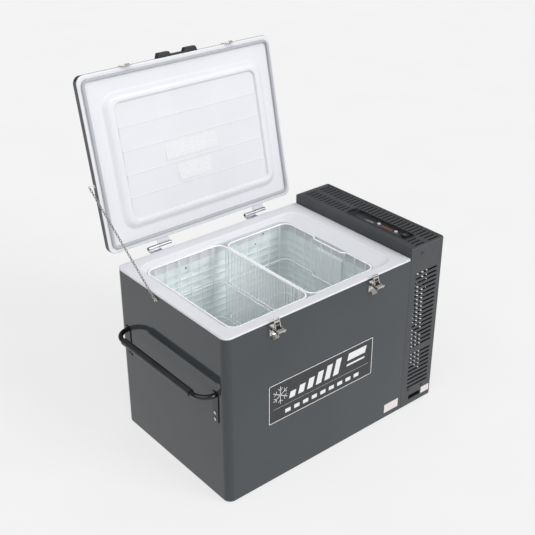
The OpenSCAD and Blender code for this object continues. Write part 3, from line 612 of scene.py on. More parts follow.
def cabinet_wrap():
    """The painted sheet round three sides, hemmed at the foot and open towards the bay."""
    x0, x1 = cabinet_low.x, cabinet_high.x
    y0, y1 = cabinet_low.y, cabinet_high.y
    z0, z1 = cabinet_low.z, cabinet_high.z

    def wrap(inset):
        """The wall's path, moved inwards by inset."""
        r = CORNER_R - inset
        back = arc_points(x0 + CORNER_R, y1 - CORNER_R, r, 90, 90, 16)
        front = arc_points(x0 + CORNER_R, y0 + CORNER_R, r, 180, 90, 16)
        return [(x1, y1 - inset), *back, *front, (x1, y0 + inset)]

    hem = 0.5 * MM
    outside, inside = wrap(0), wrap(SHEET)
    eased_out, eased_in = wrap(hem * 0.6), wrap(SHEET - hem * 0.4)
    levels = [
        (outside, z0 + hem), (outside, z0 + 3 * MM), (outside, z1 - hem), (eased_out, z1),
        (eased_in, z1), (inside, z1 - hem), (inside, z0 + hem), (eased_in, z0), (eased_out, z0),
    ]
    count = len(outside)
    verts = [(x, y, z) for path, z in levels for x, y in path]
    faces = []
    for k in range(len(levels)):
        a, b = k * count, (k + 1) % len(levels) * count
        faces += [(a + i, b + i, b + i + 1, a + i + 1) for i in range(count - 1)]
    ends = [[k * count + i for k in range(len(levels))] for i in (0, count - 1)]
    faces += [tuple(ends[0]), tuple(reversed(ends[1]))]
    Shape().add((verts, faces)).piece(
        "cabinet_wrap", "cabinet", STEEL, "steel_paint", ["outer_cabinet"]
    )


MOUTH = Outline(
    liner_low.x + LINER_WALL, liner_high.x - LINER_WALL,
    liner_low.y + LINER_WALL, liner_high.y - LINER_WALL, MOUTH_R,
)
SHELF = Outline(MOUTH.edges[0] - 10.5 * MM, MOUTH.edges[1] + 60 * MM,
                MOUTH.edges[2] - 8.5 * MM, MOUTH.edges[3] + 20 * MM, 44 * MM)


def moulded_rim():
    """The white rim: eased outer edge, flat land for the gasket, and a dished slope to the tub."""
    top = rim_high.z
    outer = Outline(rim_low.x, rim_high.x, rim_low.y, rim_high.y, (CORNER_R, 7 * MM, 7 * MM, CORNER_R))
    under = cabinet_high.z + 0.2 * MM
    slope = (
        (0.0, 0.5), (0.05, 1.5), (0.12, 2.2), (0.25, 3.2),
        (0.5, 4.8), (0.75, 5.8), (0.9, 6.5), (0.96, 7.3),
    )
    levels = [
        (outer, under),
        *grown(outer, top, ((0, -1.5), (-0.45, -0.5), (-1.4, 0), (-2.6, 0))),
        *grown(SHELF, top, ((2, 0), (0.8, -0.1))),
        *((SHELF.mix(MOUTH, t), top - d * MM) for t, d in slope),
        *grown(MOUTH, top, ((0, -9),)),
        *grown(MOUTH, rim_low.z, ((0, 1), (0.8, 0), (3.6, 0))),
        *grown(MOUTH, top, ((3.6, -14),)),
        *grown(outer, top, ((-2, -14),)),
        *grown(outer, under, ((-2, 0),)),
    ]
    Shape().add(loft(stack(levels, arc=14), loop=True)).piece(
        "rim_moulding", "cabinet", WHITE, "white_moulding", ["top_rim"]
    )


def beaded_tub():
    """The tub: horizontal beads round the walls, and dimples between them on the long walls."""
    low, high = liner_low.z + LINER_WALL, liner_high.z
    pitch = 22 * MM
    first, last = low + 34 * MM, high - 22 * MM
    spacing = dict(arc=12, along_x=40, along_y=32)
    fillet = 5 * MM

    def depth(x, y, z):
        """How far the wall is pressed outwards at a place."""
        if z < first or z > last:
            return 0.0
        phase = (z - first) % pitch / pitch
        bead = math.exp(-(((phase - 0.5) / 0.13) ** 2))
        on_long_wall = min(abs(y - MOUTH.edges[2]), abs(y - MOUTH.edges[3])) < 1 * MM
        dimple = 0.0
        if on_long_wall:
            row = int((z - first) / pitch)
            column = (x - MOUTH.edges[0]) / (62 * MM) + 0.5 * (row % 2)
            across = abs(column % 1 - 0.5) * 2
            dimple = max(0.0, min(1.0, (0.72 - across) * 6)) * (1 - bead)
        return 2.1 * MM * (1 - bead) * (0.5 + 0.5 * dimple)

    rings = []
    levels = int((high - low - fillet) / (2.2 * MM))
    base = MOUTH.points(**spacing)
    grown = MOUTH.grow(1.0 * MM).points(**spacing)
    for k in range(levels + 1):
        z = high - (high - low - fillet) * k / levels
        rings.append([
            (x + (gx - x) / MM * depth(x, y, z), y + (gy - y) / MM * depth(x, y, z), z)
            for (x, y), (gx, gy) in zip(base, grown)
        ])
    for k in range(1, 5):
        a = math.pi / 2 * k / 4
        z = low + fillet * (1 - math.sin(a))
        rings.append(ring(MOUTH.grow(-fillet * (1 - math.cos(a))), z, **spacing))
    outside = stack([(MOUTH.grow(LINER_WALL), z) for z in (liner_low.z, high)], **spacing)
    shape = Shape().add(loft(rings, last=True)).add(loft(outside, first=True))
    shape.add(loft([rings[0], outside[1]]))
    shape.piece("tub_liner", "cabinet", TUB, "liner_plastic", ["inner_liner"])


def probe_cover():
    """The ribbed plate over the cold probe on the tub's right wall."""
    low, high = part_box("sensor_cover")
    ribs = 13
    depth = 2.2 * MM
    waves = []
    for k in range(ribs * 4 + 1):
        t = k / (ribs * 4)
        waves.append((low.y + (high.y - low.y) * t, depth * 0.5 * (1 + math.cos(2 * math.pi * ribs * t))))
    levels = (
        (low.z, 6), (low.z + 3 * MM, 1.2), (low.z + 8 * MM, 0),
        (high.z - 8 * MM, 0), (high.z - 3 * MM, 1.2), (high.z, 6),
    )
    rows = [[(low.x + back * MM + d, y, z) for y, d in waves] for z, back in levels]
    Shape().add(grid_slab(rows, lambda p: (high.x, p[1], p[2]))).piece(
        "probe_plate", "cabinet", PROBE, "liner_plastic", ["sensor_cover"], flat=False
    )


def tub_screws():
    """Small cross-head screws that hold the tub's sheet."""
    head = [(0, 0), (2.6 * MM, 0.1 * MM), (3.2 * MM, 0.8 * MM), (3.2 * MM, 1.0 * MM)]
    back = MOUTH.edges[3]
    shape = Shape()
    for x, z in TUB_SCREWS:
        place = Matrix.Translation((x, back - 1.2 * MM, z)) @ Matrix.Rotation(-math.pi / 2, 4, "X")
        shape.add(lathe(head, 16), place)
        for turn in (0.3, 0.3 + math.pi / 2):
            slot = soft_box((-2 * MM, -0.35 * MM, -0.3 * MM), (2 * MM, 0.35 * MM, 0.3 * MM), 0.1 * MM, 1)
            shape.add(slot, place @ Matrix.Rotation(turn, 4, "Z"), 1)
    shape.piece("tub_screws", "cabinet", [ZINC, BLACK], "steel_bare")


# ---------------------------------------------------------------- baskets


def wire_loop(outline, z, notch=None, deep=0.0):
    """A closed ring of wire on an outline, with an inward jog on its right side."""
    x1 = outline.edges[1]
    corner_steps = 8
    path = ring(outline, z, arc=corner_steps)
    if notch:
        jog = [(x1, notch[0] - 6 * MM, z), (x1 - deep, notch[0] + 4 * MM, z),
               (x1 - deep, notch[1] - 4 * MM, z), (x1, notch[1] + 6 * MM, z)]
        before, after = path[corner_steps], path[corner_steps + 1]
        eased_jog = rounded_path([before, *jog, after], 5 * MM, 4)
        path[corner_steps : corner_steps + 2] = [tuple(p) for p in eased_jog]
    return path


def wire_basket(node, name, dense_side, notch=None, deep=11 * MM):
    """A dipped wire basket: a thick rim, three hoops, and U-shaped wires down the walls and under."""
    low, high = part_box(node)
    rim_r, hoop_r, wire_r = 2.5 * MM, 2.1 * MM, 1.3 * MM
    radius = 26 * MM
    rim = Outline(low.x + rim_r, high.x - rim_r, low.y + rim_r, high.y - rim_r, radius)
    hoop = rim.grow(-rim_r - wire_r + 1.2 * MM)
    shape = Shape()
    shape.add(tube(wire_loop(rim, high.z - rim_r, notch, deep), rim_r, 10, closed=True))
    for z in HOOPS:
        shape.add(tube(wire_loop(hoop, z, notch, deep), hoop_r, 8, closed=True))
    inner = hoop.grow(-hoop_r - wire_r + 0.4 * MM)
    floor = low.z + wire_r
    x0, x1, y0, y1 = inner.edges
    top = high.z - rim_r

    def bent_wire(path):
        shape.add(tube(rounded_path(path, 16 * MM), wire_r, 7))

    def u_wire(a, b):
        """Down one wall at a, across the floor, up the other at b."""
        bent_wire([(*a, top), (*a, floor), (*b, floor), (*b, top)])

    across = max(2, round((x1 - x0 - 2 * radius) / (40 * MM)))
    for k in range(across + 1):
        x = x0 + radius + (x1 - x0 - 2 * radius) * k / across
        u_wire((x, y0), (x, y1))
    gap = 13.5 * MM
    dense = int((y1 - y0 - 2 * radius) / gap)
    for k in range(dense + 1):
        y = y0 + radius + (y1 - y0 - 2 * radius) * k / dense
        notched = notch and notch[0] - 4 * MM < y < notch[1] + 4 * MM
        right = x1 - deep if notched else x1
        if k % 3 == 0:
            u_wire((x0, y), (right, y))
            continue
        wall = x0 if dense_side < 0 else right
        inwards = 1 if dense_side < 0 else -1
        bent_wire([(wall, y, top), (wall, y, floor), (wall + inwards * 60 * MM, y, floor)])
    span = inner.grow(-16 * MM).edges
    for k in range(5):
        y = y0 + (y1 - y0) * (k + 1) / 6
        shape.add(tube([(span[0], y, floor + 2 * wire_r), (span[1], y, floor + 2 * wire_r)], wire_r, 7))
    shape.piece(name, body_of_node(node), COATING, "basket_coating", [node], angle=70, flat=False)


# ---------------------------------------------------------------- lid


skin_low, skin_high = shut_box("lid_outer_skin")
flange_low, flange_high = shut_box("lid_liner")
gasket_low, gasket_high = shut_box("lid_gasket")
LID = Outline(skin_low.x, skin_high.x, skin_low.y, skin_high.y, CORNER_R)
flange_z = gasket_high.z
plug_z = flange_low.z
PLUG = Outline(-0.334, 0.205, -0.183, 0.194, 40 * MM)
RECESS = Outline(-0.304, 0.177, -0.157, 0.174, 22 * MM)


def lid_skin():
    """The painted lid pan: a rolled upper edge and a shallow raised field on top."""
    top, low = skin_high.z, skin_low.z
    levels = [(LID.grow(-SHEET), low), (LID, low + 0.3 * MM)]
    levels += rolled_edge(LID, top - 1 * MM, 3.5 * MM, 5)
    levels += grown(LID, top, ((-18, -1), (-22, -0.7)))
    levels += [
        (LID.grow(-26 * MM, 4 * MM), top - 0.2 * MM),
        (LID.grow(-30 * MM, 4 * MM), top),
    ]
    inside = [(LID.grow(-SHEET), z) for z in (top - 2.2 * MM, low)]
    shape = Shape().add(loft(stack(levels, arc=14), last=True))
    shape.add(loft(stack(inside, arc=14), first=True))
    shape.piece("lid_pan", "lid", STEEL, "steel_paint", ["lid_outer_skin"], open_lid)


def lid_inner():
    """The white lid liner: outer lip, gasket land, sloped plug, and a recessed, stepped field."""
    top = flange_high.z
    slope = (
        (5, 10.0), (2.5, 9.7), (0.5, 9.0), (-3, 6.6), (-8, 3.2),
        (-12, 1.2), (-15, 0.35), (-18, 0.05), (-20, 0),
    )
    brink = ((5, 0), (2.6, 0.1), (1.0, 0.6), (0, 1.6), (-1.6, 4.4), (-3.0, 6.4), (-4.6, 7.9))
    levels = [
        (LID, top),
        *grown(LID, flange_z, ((0, 2), (-0.5, 0.6), (-1.6, 0), (-3, 0))),
        *grown(PLUG, plug_z, slope),
        *grown(RECESS, plug_z, brink),
        *grown(RECESS, flange_z, ((-4.6, 1),)),
        *grown(LID, flange_z, ((-2.4, 2.6),)),
        *grown(LID, top, ((-2.4, 0),)),
    ]
    Shape().add(loft(stack(levels, arc=14), loop=True)).add(stepped_field()).piece(
        "lid_liner_moulding", "lid", WHITE, "white_moulding", ["lid_liner"], open_lid
    )


def stepped_field():
    """The recessed field of the lid liner, in five bands that step down like clapboard."""
    field = RECESS.grow(-3.2 * MM)
    x0, x1, y0, y1 = field.edges
    r = field.radii[0]
    steps = [hinge_point.y - s for s in (0.351, 0.285, 0.218, 0.155)]
    depth = flange_z - LINER_WALL - plug_z
    rise = 2.3 * MM

    def half_cut(y):
        """How much the round corners shorten the field at y."""
        d = max(y0 + r - y, y - (y1 - r), 0)
        return r - math.sqrt(max(r * r - d * d, 0))

    marks = {y0, y1}
    for k in range(1, 9):
        d = r * math.sin(math.pi / 2 * k / 8)
        marks |= {y0 + r - d, y1 - r + d}
    bounds = [y0, *steps, y1]
    rows = []
    for a, b in zip(bounds, bounds[1:]):
        inside = sorted(m for m in marks if a + 2 * MM < m < b - 2 * MM)
        for y in [a, a + 0.8 * MM, a + 1.8 * MM, *inside, (a + b) / 2, b - 1.2 * MM]:
            t = (y - a) / (b - a)
            lip = math.exp(-(((y - a) / (1.2 * MM)) ** 2)) if a > y0 else 0
            rows.append((y, rise * (1 - t) * (1 if a > y0 else 0.3) + 0.9 * MM * lip))
    rows.append((y1, 0))
    rows.sort()
    columns = 10
    grid = []
    for y, lift in rows:
        cut = half_cut(y)
        z = plug_z + depth - lift
        grid.append([(x0 + cut + (x1 - x0 - 2 * cut) * c / columns, y, z) for c in range(columns + 1)])
    return grid_slab(grid, lambda p: (p[0], p[1], flange_z + 0.9 * MM))


def lid_edge_trim():
    """The pan's turned edge, which covers the liner's lip on every side but the front."""
    path = LID.points(arc=10)
    outer = LID.grow(0.45 * MM).points(arc=10)
    low, high = flange_z + 2.4 * MM, skin_low.z + 1.5 * MM
    rings = [
        [(ox, oy, high), (ox, oy, low + 0.3 * MM), (px, py, low), (px, py, high)]
        for (px, py), (ox, oy) in zip(path, outer)
    ]
    Shape().add(loft(rings, first=True, last=True)).piece(
        "lid_edge_trim", "lid", STEEL, "steel_paint", turn=open_lid
    )


def lid_core():
    """The foam slab inside the lid, between the pan and the liner."""
    slab = LID.grow(-3.5 * MM)
    levels = grown(slab, flange_z, ((-1, 2.9), (0, 3.9))) + grown(slab, skin_high.z, ((0, -3.6), (-1, -2.6)))
    Shape().add(plate(levels, 8)).piece(
        "lid_core", "lid", FOAM, "foam", ["lid_foam"], open_lid
    )


def lid_seal():
    """The gasket: a magnet tube on a bellows, with rounded corners."""
    outer = Outline(gasket_low.x, gasket_high.x, gasket_low.y, gasket_high.y, CORNER_R - 2 * MM)
    low, top = gasket_low.z, gasket_high.z
    section = [
        (1.2, top), (1.7, top - 1.2 * MM), (0.9, top - 2.4 * MM), (0.8, top - 4.2 * MM),
        (1.2, low + 1.2 * MM), (2.2, low + 0.2 * MM), (3.6, low), (6.8, low), (8.2, low + 0.3 * MM),
        (9.0, low + 1.3 * MM), (9.2, low + 2.6 * MM), (8.4, low + 3.6 * MM), (9.4, low + 4.6 * MM),
        (9.7, top),
    ]
    rings = [ring(outer.grow(-d * MM), z, arc=12) for d, z in section]
    Shape().add(loft(rings, loop=True)).piece(
        "lid_seal", "lid", GASKET, "gasket_rubber", ["lid_gasket"], open_lid, flat=False
    )


def stickers():
    """Two pale stickers inside the lid, with plain ruled rows."""
    z = flange_z - 4.6 * MM
    for name, edges, replaces in (
        ("lid_sticker_wide", (-0.165, 0.014, -0.019, 0.033), ["lid_stickers"]),
        ("lid_sticker_small", (-0.134, -0.020, 0.050, 0.099), ()),
    ):
        shape = Shape().add(plate(grown(Outline(*edges, 2 * MM), z, ((0, 1), (0, 0.1), (-0.1, 0))), 4))
        shape.piece(name, "lid", STICKER, "label_film", replaces, open_lid)


# ---------------------------------------------------------------- badge and latches


def badge_print():
    """White ink on the badge: a border, a divider, and generic cooling marks in place of a name."""
    lift = 0.12 * MM
    front = badge_low.y
    x0, x1, z0, z1 = badge_low.x, badge_high.x, badge_low.z, badge_high.z
    width, height = x1 - x0, z1 - z0
    upright = Matrix(((1, 0, 0, 0), (0, 0, 1, front - lift), (0, 1, 0, 0), (0, 0, 0, 1)))
    shape = Shape()
    border = Outline(x0 + 1 * MM, x1 - 1 * MM, z0 + 1 * MM, z1 - 1 * MM, 3 * MM)
    inner = border.grow(-2.0 * MM)
    levels = ((border, 0), (inner, 0), (inner, 2 * lift), (border, 2 * lift))
    shape.add(loft(stack(levels, arc=5), loop=True), upright)

    def bar(a, b, c, d, lean=0.0, r=0.6 * MM):
        """A solid bar from (a, c) to (b, d), leaning by a share of its height."""
        outline = Outline(a, b, c, d, r)
        rings = [[(x + lean * (y - c), y, z) for x, y, z in ring(outline, h, arc=3)] for h in (0, 2 * lift)]
        shape.add(loft(rings, first=True, last=True), upright)

    low = z0 + height * 0.345
    bar(x0 + width * 0.04, x1 - width * 0.04, low, low + 0.55 * MM, r=0.2 * MM)
    base, cap = z0 + height * 0.46, z0 + height * 0.86
    for k in range(6):
        a = x0 + width * (0.185 + 0.083 * k)
        bar(a, a + width * 0.052, base, base + (cap - base) * (0.4 + 0.12 * k), lean=0.25)
    tall = cap - base
    bar(x0 + width * 0.74, x0 + width * 0.92, base + tall * 0.55, cap, lean=0.25)
    bar(x0 + width * 0.735, x0 + width * 0.915, base + tall * 0.2, base + tall * 0.32, lean=0.25)
    row = z0 + height * 0.13
    for k in range(9):
        a = x0 + width * (0.15 + 0.083 * k)
        bar(a, a + width * 0.05, row, row + height * 0.095)
    centre = Vector((x0 + width * 0.105, (base + cap) / 2, 0))
    arm = (cap - base) * 0.56

    def spoke(length, half, place):
        shape.add(soft_box((0, -half, 0), (length, half, 2 * lift), 0.08 * MM, 1), upright @ place)

    for k in range(6):
        spin = Matrix.Translation(centre) @ Matrix.Rotation(math.pi / 3 * k + math.pi / 6, 4, "Z")
        spoke(arm, 0.9 * MM, spin)
        for side in (-1, 1):
            fork = Matrix.Translation((arm * 0.55, 0, 0)) @ Matrix.Rotation(side * math.pi / 3.4, 4, "Z")
            spoke(arm * 0.36, 0.7 * MM, spin @ fork)
    shape.piece("badge_marks", "cabinet", INK, "label_film")


def latch_plates():
    """Each latch's plate: pivot ears, rivet heads and a tongue that curls out below the lever."""
    verts = [v.co for v in frame["nodes"]["latch_bases"].data.vertices]
    low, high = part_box("latch_bases")
    half = 14 * MM
    upright = Matrix(((1, 0, 0, 0), (0, 0, 1, 0), (0, 1, 0, 0), (0, 0, 0, 1)))
    shape = Shape()
    for centre in (low.x + half, high.x - half):
        near = [v for v in verts if abs(v.x - centre) < half + 1 * MM]
        front = min(v.y for v in near)
        face = high.y - 1.6 * MM
        outline = Outline(centre - half, centre + half, low.z + 6 * MM, high.z, 1.6 * MM)
        levels = [(outline, high.y), *grown(outline, face, ((0, 0.3), (-0.3, 0)))]
        shape.add(plate(levels, 4), upright)
        tongue = []
        steps = 10
        root, tip = low.z + 11.4 * MM, low.z + 0.9 * MM
        for k in range(steps + 1):
            t = k / steps
            y = face + (front + 0.8 * MM - face) * (t ** 1.35)
            z = root + (tip - root) * (t ** 0.9)
            w = (8.6 + 1.2 * t) * MM
            thick = 0.55 * MM
            tongue.append([(centre - w, y, z + thick), (centre + w, y, z + thick),
                           (centre + w, y + 0.2 * MM, z - thick), (centre - w, y + 0.2 * MM, z - thick)])
        shape.add(loft(tongue, first=True, last=True))
        for side in (-1, 1):
            x = centre + side * 13.2 * MM
            pivot = Vector((x, front + 5.2 * MM, high.z - 9 * MM))
            ear = arc_points(pivot.y, pivot.z, 4.4 * MM, 90, 180, 12)
            ear += [(face, pivot.z - 5.5 * MM), (face, pivot.z + 5.5 * MM)]
            rings = [[(x + side * d * MM, y, z) for y, z in ear] for d in (-0.7, 0.7)]
            shape.add(loft(rings, first=True, last=True))
            pin = lathe([(0, 0), (1.5 * MM, 0), (1.5 * MM, 3.6 * MM), (0, 3.6 * MM)], 14)
            at = Matrix.Translation((x + (0.7 * MM if side > 0 else 2.9 * MM) - 3.6 * MM, pivot.y, pivot.z))
            shape.add(pin, at @ Matrix.Rotation(math.pi / 2, 4, "Y"))
    shape.piece("latch_base_plates", "cabinet", NICKEL, "bright_nickel", ["latch_bases"], angle=35)


def latch_painted_shade():
    """Painted shade in the latches: dark pressed webs between the cheeks of each lever, dark nickel with black
    pads, and black plates between the arms of each loop, where the hollows fall in shadow.
    """
    joints = {j["name"]: Vector(j["pos_m"]) for j in frame["joints"] if "pos_m" in j}
    for side in ("left", "right"):
        shade_web, shade_insert = Shape(), Shape()
        # The dark nickel and the black here are painted shade in the lever's hollow and in the loop's slots
        for shape, x, y, z, r, part, lean, material in (
            (shade_web, (-10.4, 10.4), (-5, -4.4), (-14.6, -3), 0.2, "lever", LEVER_OPEN, 0),
            (shade_web, (-7.6, -1.4), (-5.3, -4.9), (-12.4, -8.6), 0.15, "lever", LEVER_OPEN, 1),
            (shade_web, (1.4, 7.6), (-5.3, -4.9), (-12.4, -8.6), 0.15, "lever", LEVER_OPEN, 1),
            (shade_insert, (-6.9, 6.9), (0.1, 0.7), (12.6, 19.2), 0.15, "loop", LOOP_LEAN, 0),
            (shade_insert, (-6.9, 6.9), (-0.9, 0.9), (11.2, 12.6), 0.3, "loop", LOOP_LEAN, 1),
            (shade_insert, (-6.9, 6.9), (0.1, 0.7), (9.3, 11.2), 0.15, "loop", LOOP_LEAN, 0),
        ):
            low, high = Vector((x[0], y[0], z[0])) * MM, Vector((x[1], y[1], z[1])) * MM
            place = Matrix.Translation(joints[f"latch_{part}_{side}_hinge"])
            place = place @ Matrix.Rotation(math.radians(-lean), 4, "X")
            shape.add(soft_box(low, high, r * MM, 1), place, material)
        shade_web.piece(f"lever_shade_web_{side}", f"lever_{side}", [SHADE_NICKEL, BLACK], "bright_nickel")
        shade_insert.piece(f"loop_shade_insert_{side}", f"loop_{side}", [BLACK, NICKEL], "bright_nickel")


def two_tone(obj, material, reach):
    """Gives an eased piece's faces beyond reach of the hinge axis a second material."""
    obj.data.materials.append(material)
    for face in obj.data.polygons:
        if (face.center.yz - hinge_point.yz).length > reach:
            face.material_index = 1


# ---------------------------------------------------------------- machine bay cover


def cover_shell():
    """The bay cover: one moulding with rounded edges, louvres on three sides and a panel opening."""
    x0, x1 = cover_low.x, cover_high.x
    y0, y1 = cover_low.y, cover_high.y
    z0, z1 = cover_low.z, cover_high.z
    wall = 3 * MM
    side_r, top_r = 10 * MM, 5 * MM
    shell = Outline(x0, x1, y0, y1, (2 * MM, side_r, side_r, 2 * MM))
    lip = 1.6 * MM
    levels = [(shell.grow(-wall), z0), (shell, z0), *rolled_edge(shell, z1, top_r, 6)]
    levels += [(shell.grow(-9 * MM, 2 * MM), z1), (shell.grow(-10 * MM, 2 * MM), z1 - lip)]
    inside = [(shell.grow(-wall), z1 - wall - lip), (shell.grow(-wall), z0)]
    shape = Shape().add(loft(stack(levels, arc=8), last=True)).add(loft(stack(inside, arc=8), first=True))
    obj = shape.piece("bay_cover_moulding", "cabinet", COVER, "cover_plastic", ["bay_cover"])
    remake(obj.data, weld)
    carve(obj, cover_cutters())


def panel_details():
    """Bezels round the two buttons, plain rules on the tray, and a mark on the rocker."""
    level = display_low.z
    shape = Shape()
    for node in ("button_up", "button_down"):
        low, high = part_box(node)
        x, y = (low.x + high.x) / 2, (low.y + high.y) / 2
        r = (high.x - low.x) / 2
        inner = Outline(x - r, x + r, y - r, y + r, r).grow(0.3 * MM)
        outer = inner.grow(0.9 * MM)
        foot, crest = level - 0.3 * MM, level + 0.35 * MM
        levels = ((inner, foot), (inner, crest), (outer.grow(-0.5 * MM), crest), (outer, foot))
        shape.add(loft(stack(levels, arc=6), loop=True))
    shape.piece("button_bezels", "cabinet", BUTTON, "button_plastic")
    marks = Shape()
    back = max(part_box("button_up")[1].y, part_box("button_down")[1].y) + 12 * MM
    middle = (panel_low.x + panel_high.x) / 2
    for x, reach in ((middle + 3 * MM, 26 * MM), (middle - 2 * MM, 34 * MM)):
        low = (x - 0.5 * MM, back, level - 0.2 * MM)
        high = (x + 0.5 * MM, back + reach, level + 0.1 * MM)
        marks.add(soft_box(low, high, 0.05 * MM, 1))
    marks.piece("panel_rules", "cabinet", BUTTON, "button_plastic")
    x, y, top = (switch_low.x + switch_high.x) / 2, (switch_low.y + switch_high.y) / 2, switch_high.z
    low = (x - 0.6 * MM, y - 0.5 * MM, top - 0.6 * MM)
    high = (x + 0.6 * MM, y + 3 * MM, top + 0.05 * MM)
    mark = Shape().add(soft_box(low, high, 0.05 * MM, 1))
    mark.piece("rocker_mark", "switch_rocker", INK, "label_film")


def weld(bm):
    """Joins points that meet."""
    bmesh.ops.remove_doubles(bm, verts=bm.verts[:], dist=0.005 * MM)
    face_outwards(bm)


def slot_cutter(shape, x, y, z, axis):
    """A box that cuts one louvre; its ends are rounded in the plane across the axis."""
    low, high = Vector((x[0], y[0], z[0])), Vector((x[1], y[1], z[1]))
    size = [high[i] - low[i] for i in range(3)]
    flat = [i for i in range(3) if i != axis]
    r = min(size[flat[0]], size[flat[1]]) * 0.42
    outline = Outline(low[flat[0]], high[flat[0]], low[flat[1]], high[flat[1]], r)
    rings = []
    for level in (low[axis], high[axis]):
        one = []
        for a, b in outline.points(arc=3):
            p = [0, 0, 0]
            p[flat[0]], p[flat[1]], p[axis] = a, b, level
            one.append(tuple(p))
        rings.append(one)
    shape.add(loft(rings, first=True, last=True))


def cover_cutters():
    """The cover's louvres on the front, side and top, the panel's opening and the socket's."""
    x1, y0, z1 = cover_high.x, cover_low.y, cover_high.z
    front, side, top = (y0 - 2 * MM, y0 + 6 * MM), (x1 - 6 * MM, x1 + 2 * MM), (z1 - 9 * MM, z1 + 2 * MM)
    clear = 0.2 * MM
    shape = Shape()
    for k in range(LOUVRE_ROWS):
        if k == LOUVRE_GAP_ROW:
            continue
        z = cover_low.z + LOUVRE_TOP - LOUVRE_DROP * k
        tall = (z - LOUVRE_HALF, z + LOUVRE_HALF)
        slot_cutter(shape, FRONT_LOUVRES, front, tall, 1)
        for span in SIDE_LOUVRES:
            slot_cutter(shape, side, span, tall, 0)
    for k in range(TOP_LOUVRES):
        y = TOP_LOUVRE_START + TOP_LOUVRE_STEP * k
        wide = (y - LOUVRE_HALF, y + LOUVRE_HALF)
        slot_cutter(shape, OUTER_LOUVRES, wide, top, 2)
        if y < panel_low.y - 8 * MM or y > panel_high.y + 8 * MM:
            slot_cutter(shape, INNER_LOUVRES, wide, top, 2)
    panel_x = (panel_low.x - clear, panel_high.x + clear)
    panel_y = (panel_low.y - clear, panel_high.y + clear)
    slot_cutter(shape, panel_x, panel_y, top, 2)
    slot_cutter(shape, SOCKET_X, front, SOCKET_Z, 1)
    return shape


def carve(obj, cutters):
    """Cuts the cutters out of a piece, then eases the new edges."""
    mesh = bpy.data.meshes.new("cutters")
    mesh.from_pydata([tuple(v) for v in cutters.verts], [], cutters.faces)
    remake(mesh, face_outwards)
    tool = linked("cutters", mesh)
    cut = obj.modifiers.new("cut", "BOOLEAN")
    cut.object = tool
    cut.operation = "DIFFERENCE"
    cut.solver = "EXACT"
    obj.modifiers.move(len(obj.modifiers) - 1, 0)
    ease = obj.modifiers.new("ease", "BEVEL")
    ease.width = 0.45 * MM
    ease.segments = 2
    ease.limit_method = "ANGLE"
    ease.angle_limit = math.radians(50)
    obj.modifiers.move(len(obj.modifiers) - 1, 1)
    bpy.context.view_layer.update()
    done = bpy.data.meshes.new_from_object(obj.evaluated_get(bpy.context.evaluated_depsgraph_get()))
    obj.modifiers.clear()
    obj.data = done
    done.set_sharp_from_angle(angle=math.radians(40))
    weigh_normals(obj)
    bpy.data.objects.remove(tool)


# ---------------------------------------------------------------- scene


def studio():
    """A pale floor, a pale horizon, a sky that is brighter in front and above, and two soft lights."""
    scene = bpy.context.scene
    world = bpy.data.worlds.new("studio")
    world.use_nodes = True
    tree = world.node_tree
    place, facing, level, split, skirt, blend = (
        tree.nodes.new("ShaderNode" + kind)
        for kind in ("TexCoord", "VectorMath", "MapRange", "SeparateXYZ", "MapRange", "Mix")
    )
    facing.operation = "DOT_PRODUCT"
    facing.inputs[1].default_value = Vector(BRIGHT_SIDE).normalized()
    level.interpolation_type = skirt.interpolation_type = "SMOOTHSTEP"
    put(level, {"From Min": -0.45, "From Max": 0.8, "To Min": DIM_LEVEL, "To Max": BRIGHT_LEVEL})
    put(skirt, {"From Min": 0.02, "From Max": 0.15, "To Min": 1.0, "To Max": 0.0})
    blend.data_type = "FLOAT"
    put(blend, {"B": HORIZON_LEVEL})
    back = tree.nodes["Background"]
    put(back, {"Color": (0.985, 0.99, 1.0, 1)})
    for source, output, target, entry in (
        (place, "Generated", facing, 0),
        (facing, "Value", level, "Value"),
        (place, "Generated", split, "Vector"),
        (split, "Z", skirt, "Value"),
        (skirt, "Result", blend, "Factor"),
        (level, "Result", blend, "A"),
        (blend, "Result", back, "Strength"),
    ):
        tree.links.new(source.outputs[output], target.inputs[entry])
    scene.world = world
    scene.view_settings.view_transform = "Standard"
    half = FLOOR_HALF
    floor_mesh = bpy.data.meshes.new("floor")
    corners = [(-half, -half, 0), (half, -half, 0), (half, half, 0), (-half, half, 0)]
    floor_mesh.from_pydata(corners, [], [(0, 1, 2, 3)])
    floor = linked("floor", floor_mesh)
    n = Nodes("floor_paper", (0.2, 0.2, 0.2), 0.95)
    n.tint(n.noise(3, 2), (0.195, 0.195, 0.195), (0.205, 0.205, 0.205))
    put(n.shader, {
        "Specular IOR Level": 0.0, "Emission Color": (1, 1, 1, 1), "Emission Strength": FLOOR_GLOW,
    })
    floor_mesh.materials.append(n.material)
    for name, direction, power, spread in LAMPS:
        light = bpy.data.lights.new(name, "SUN")
        light.energy = power
        light.angle = math.radians(spread)
        linked(name, light).rotation_euler = Vector(direction).to_track_quat("-Z", "Y").to_euler()


def camera():
    """The three-quarter view from the front left."""
    data = bpy.data.cameras.new("camera")
    data.lens = CAMERA_LENS
    data.sensor_width = 36
    data.clip_end = 60
    obj = linked("camera", data)
    obj.location = CAMERA_PLACE
    obj.rotation_euler = (math.radians(CAMERA_TILT), 0, math.radians(CAMERA_TURN))
    bpy.context.scene.camera = obj


camera()
studio()

cabinet_wrap()
moulded_rim()
beaded_tub()
probe_cover()
tub_screws()
wire_basket("basket_left", "basket_left_wires", 1)
wire_basket("basket_right", "basket_right_wires", -1, notch=RIM_NOTCH)
lid_skin()
lid_inner()
lid_seal()
lid_core()
lid_edge_trim()
stickers()
badge_print()
latch_plates()
latch_painted_shade()
cover_shell()
panel_details()

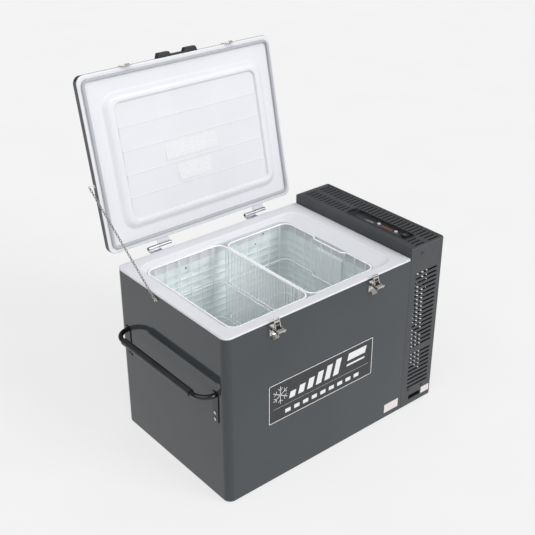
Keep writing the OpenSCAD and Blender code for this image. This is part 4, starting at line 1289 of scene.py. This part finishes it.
for node, name, material, width in (
    ("lid_handle", "lid_pull", BLACK, 1.2 * MM),
    ("latch_lever_left", "latch_lever_l", NICKEL, 0.4 * MM),
    ("latch_lever_right", "latch_lever_r", NICKEL, 0.4 * MM),
    ("latch_keepers", "latch_keeper_hooks", NICKEL, 0.3 * MM),
    ("hinge_leaves_cabinet", "hinge_leaf_lower", ZINC, 0.35 * MM),
    ("control_panel", "control_tray", PANEL, 0.5 * MM),
    ("power_socket", "power_inlet", BLACK, 0.4 * MM),
    ("power_switch", "switch_rocker_cap", BLACK, 0.8 * MM),
    ("rubber_feet", "foot_pads", RUBBER, 0.8 * MM),
    ("front_badge", "badge_plate", BADGE, 0.25 * MM),
    ("compressor", "compressor_shell", MACHINE, 1.2 * MM),
    ("fan_rotor", "fan_blades", BLACK, 0.25 * MM),
):
    eased(node, name, material, width)
two_tone(eased("hinge_leaves_lid", "hinge_leaf_upper", ZINC, 0.35 * MM), WHITE, 6 * MM)

for material, nodes in (
    (PAN, ("base_pan",)),
    (ALUMINIUM, ("bulkhead", "evaporator_sheet")),
    (FOAM, ("foam_insulation",)),
    (ZINC, ("foot_bushes", "hinge_screws", "latch_screws", "handle_rivets", "condenser_wires")),
    (CHAIN, ("chain_lower", "chain_turn_a", "chain_turn_b", "chain_upper")),
    (NICKEL, ("lid_chain_stud", "chain_anchor", "latch_loop_left", "latch_loop_right")),
    (ENAMEL, ("handle_bar_left", "handle_bar_right")),
    (GRIP, ("handle_grip_left", "handle_grip_right")),
    (BUTTON, ("button_up", "button_down")),
    (DISPLAY, ("display_window",)),
    (LABEL, ("rating_labels",)),
    (BOARD, ("control_board",)),
    (RUBBER, ("compressor_mounts",)),
    (COPPER, ("condenser_coil", "refrigerant_pipes")),
    (BLACK, ("fan_shroud", "fan_motor", "cover_screws", "hinge_pins")),
):
    for node in nodes:
        keep(node, material)

rivets = frame["nodes"]["handle_rivets"].data
rivets.materials.append(ENAMEL)
for face in rivets.polygons:
    face.material_index = int(face.center.y > 0)
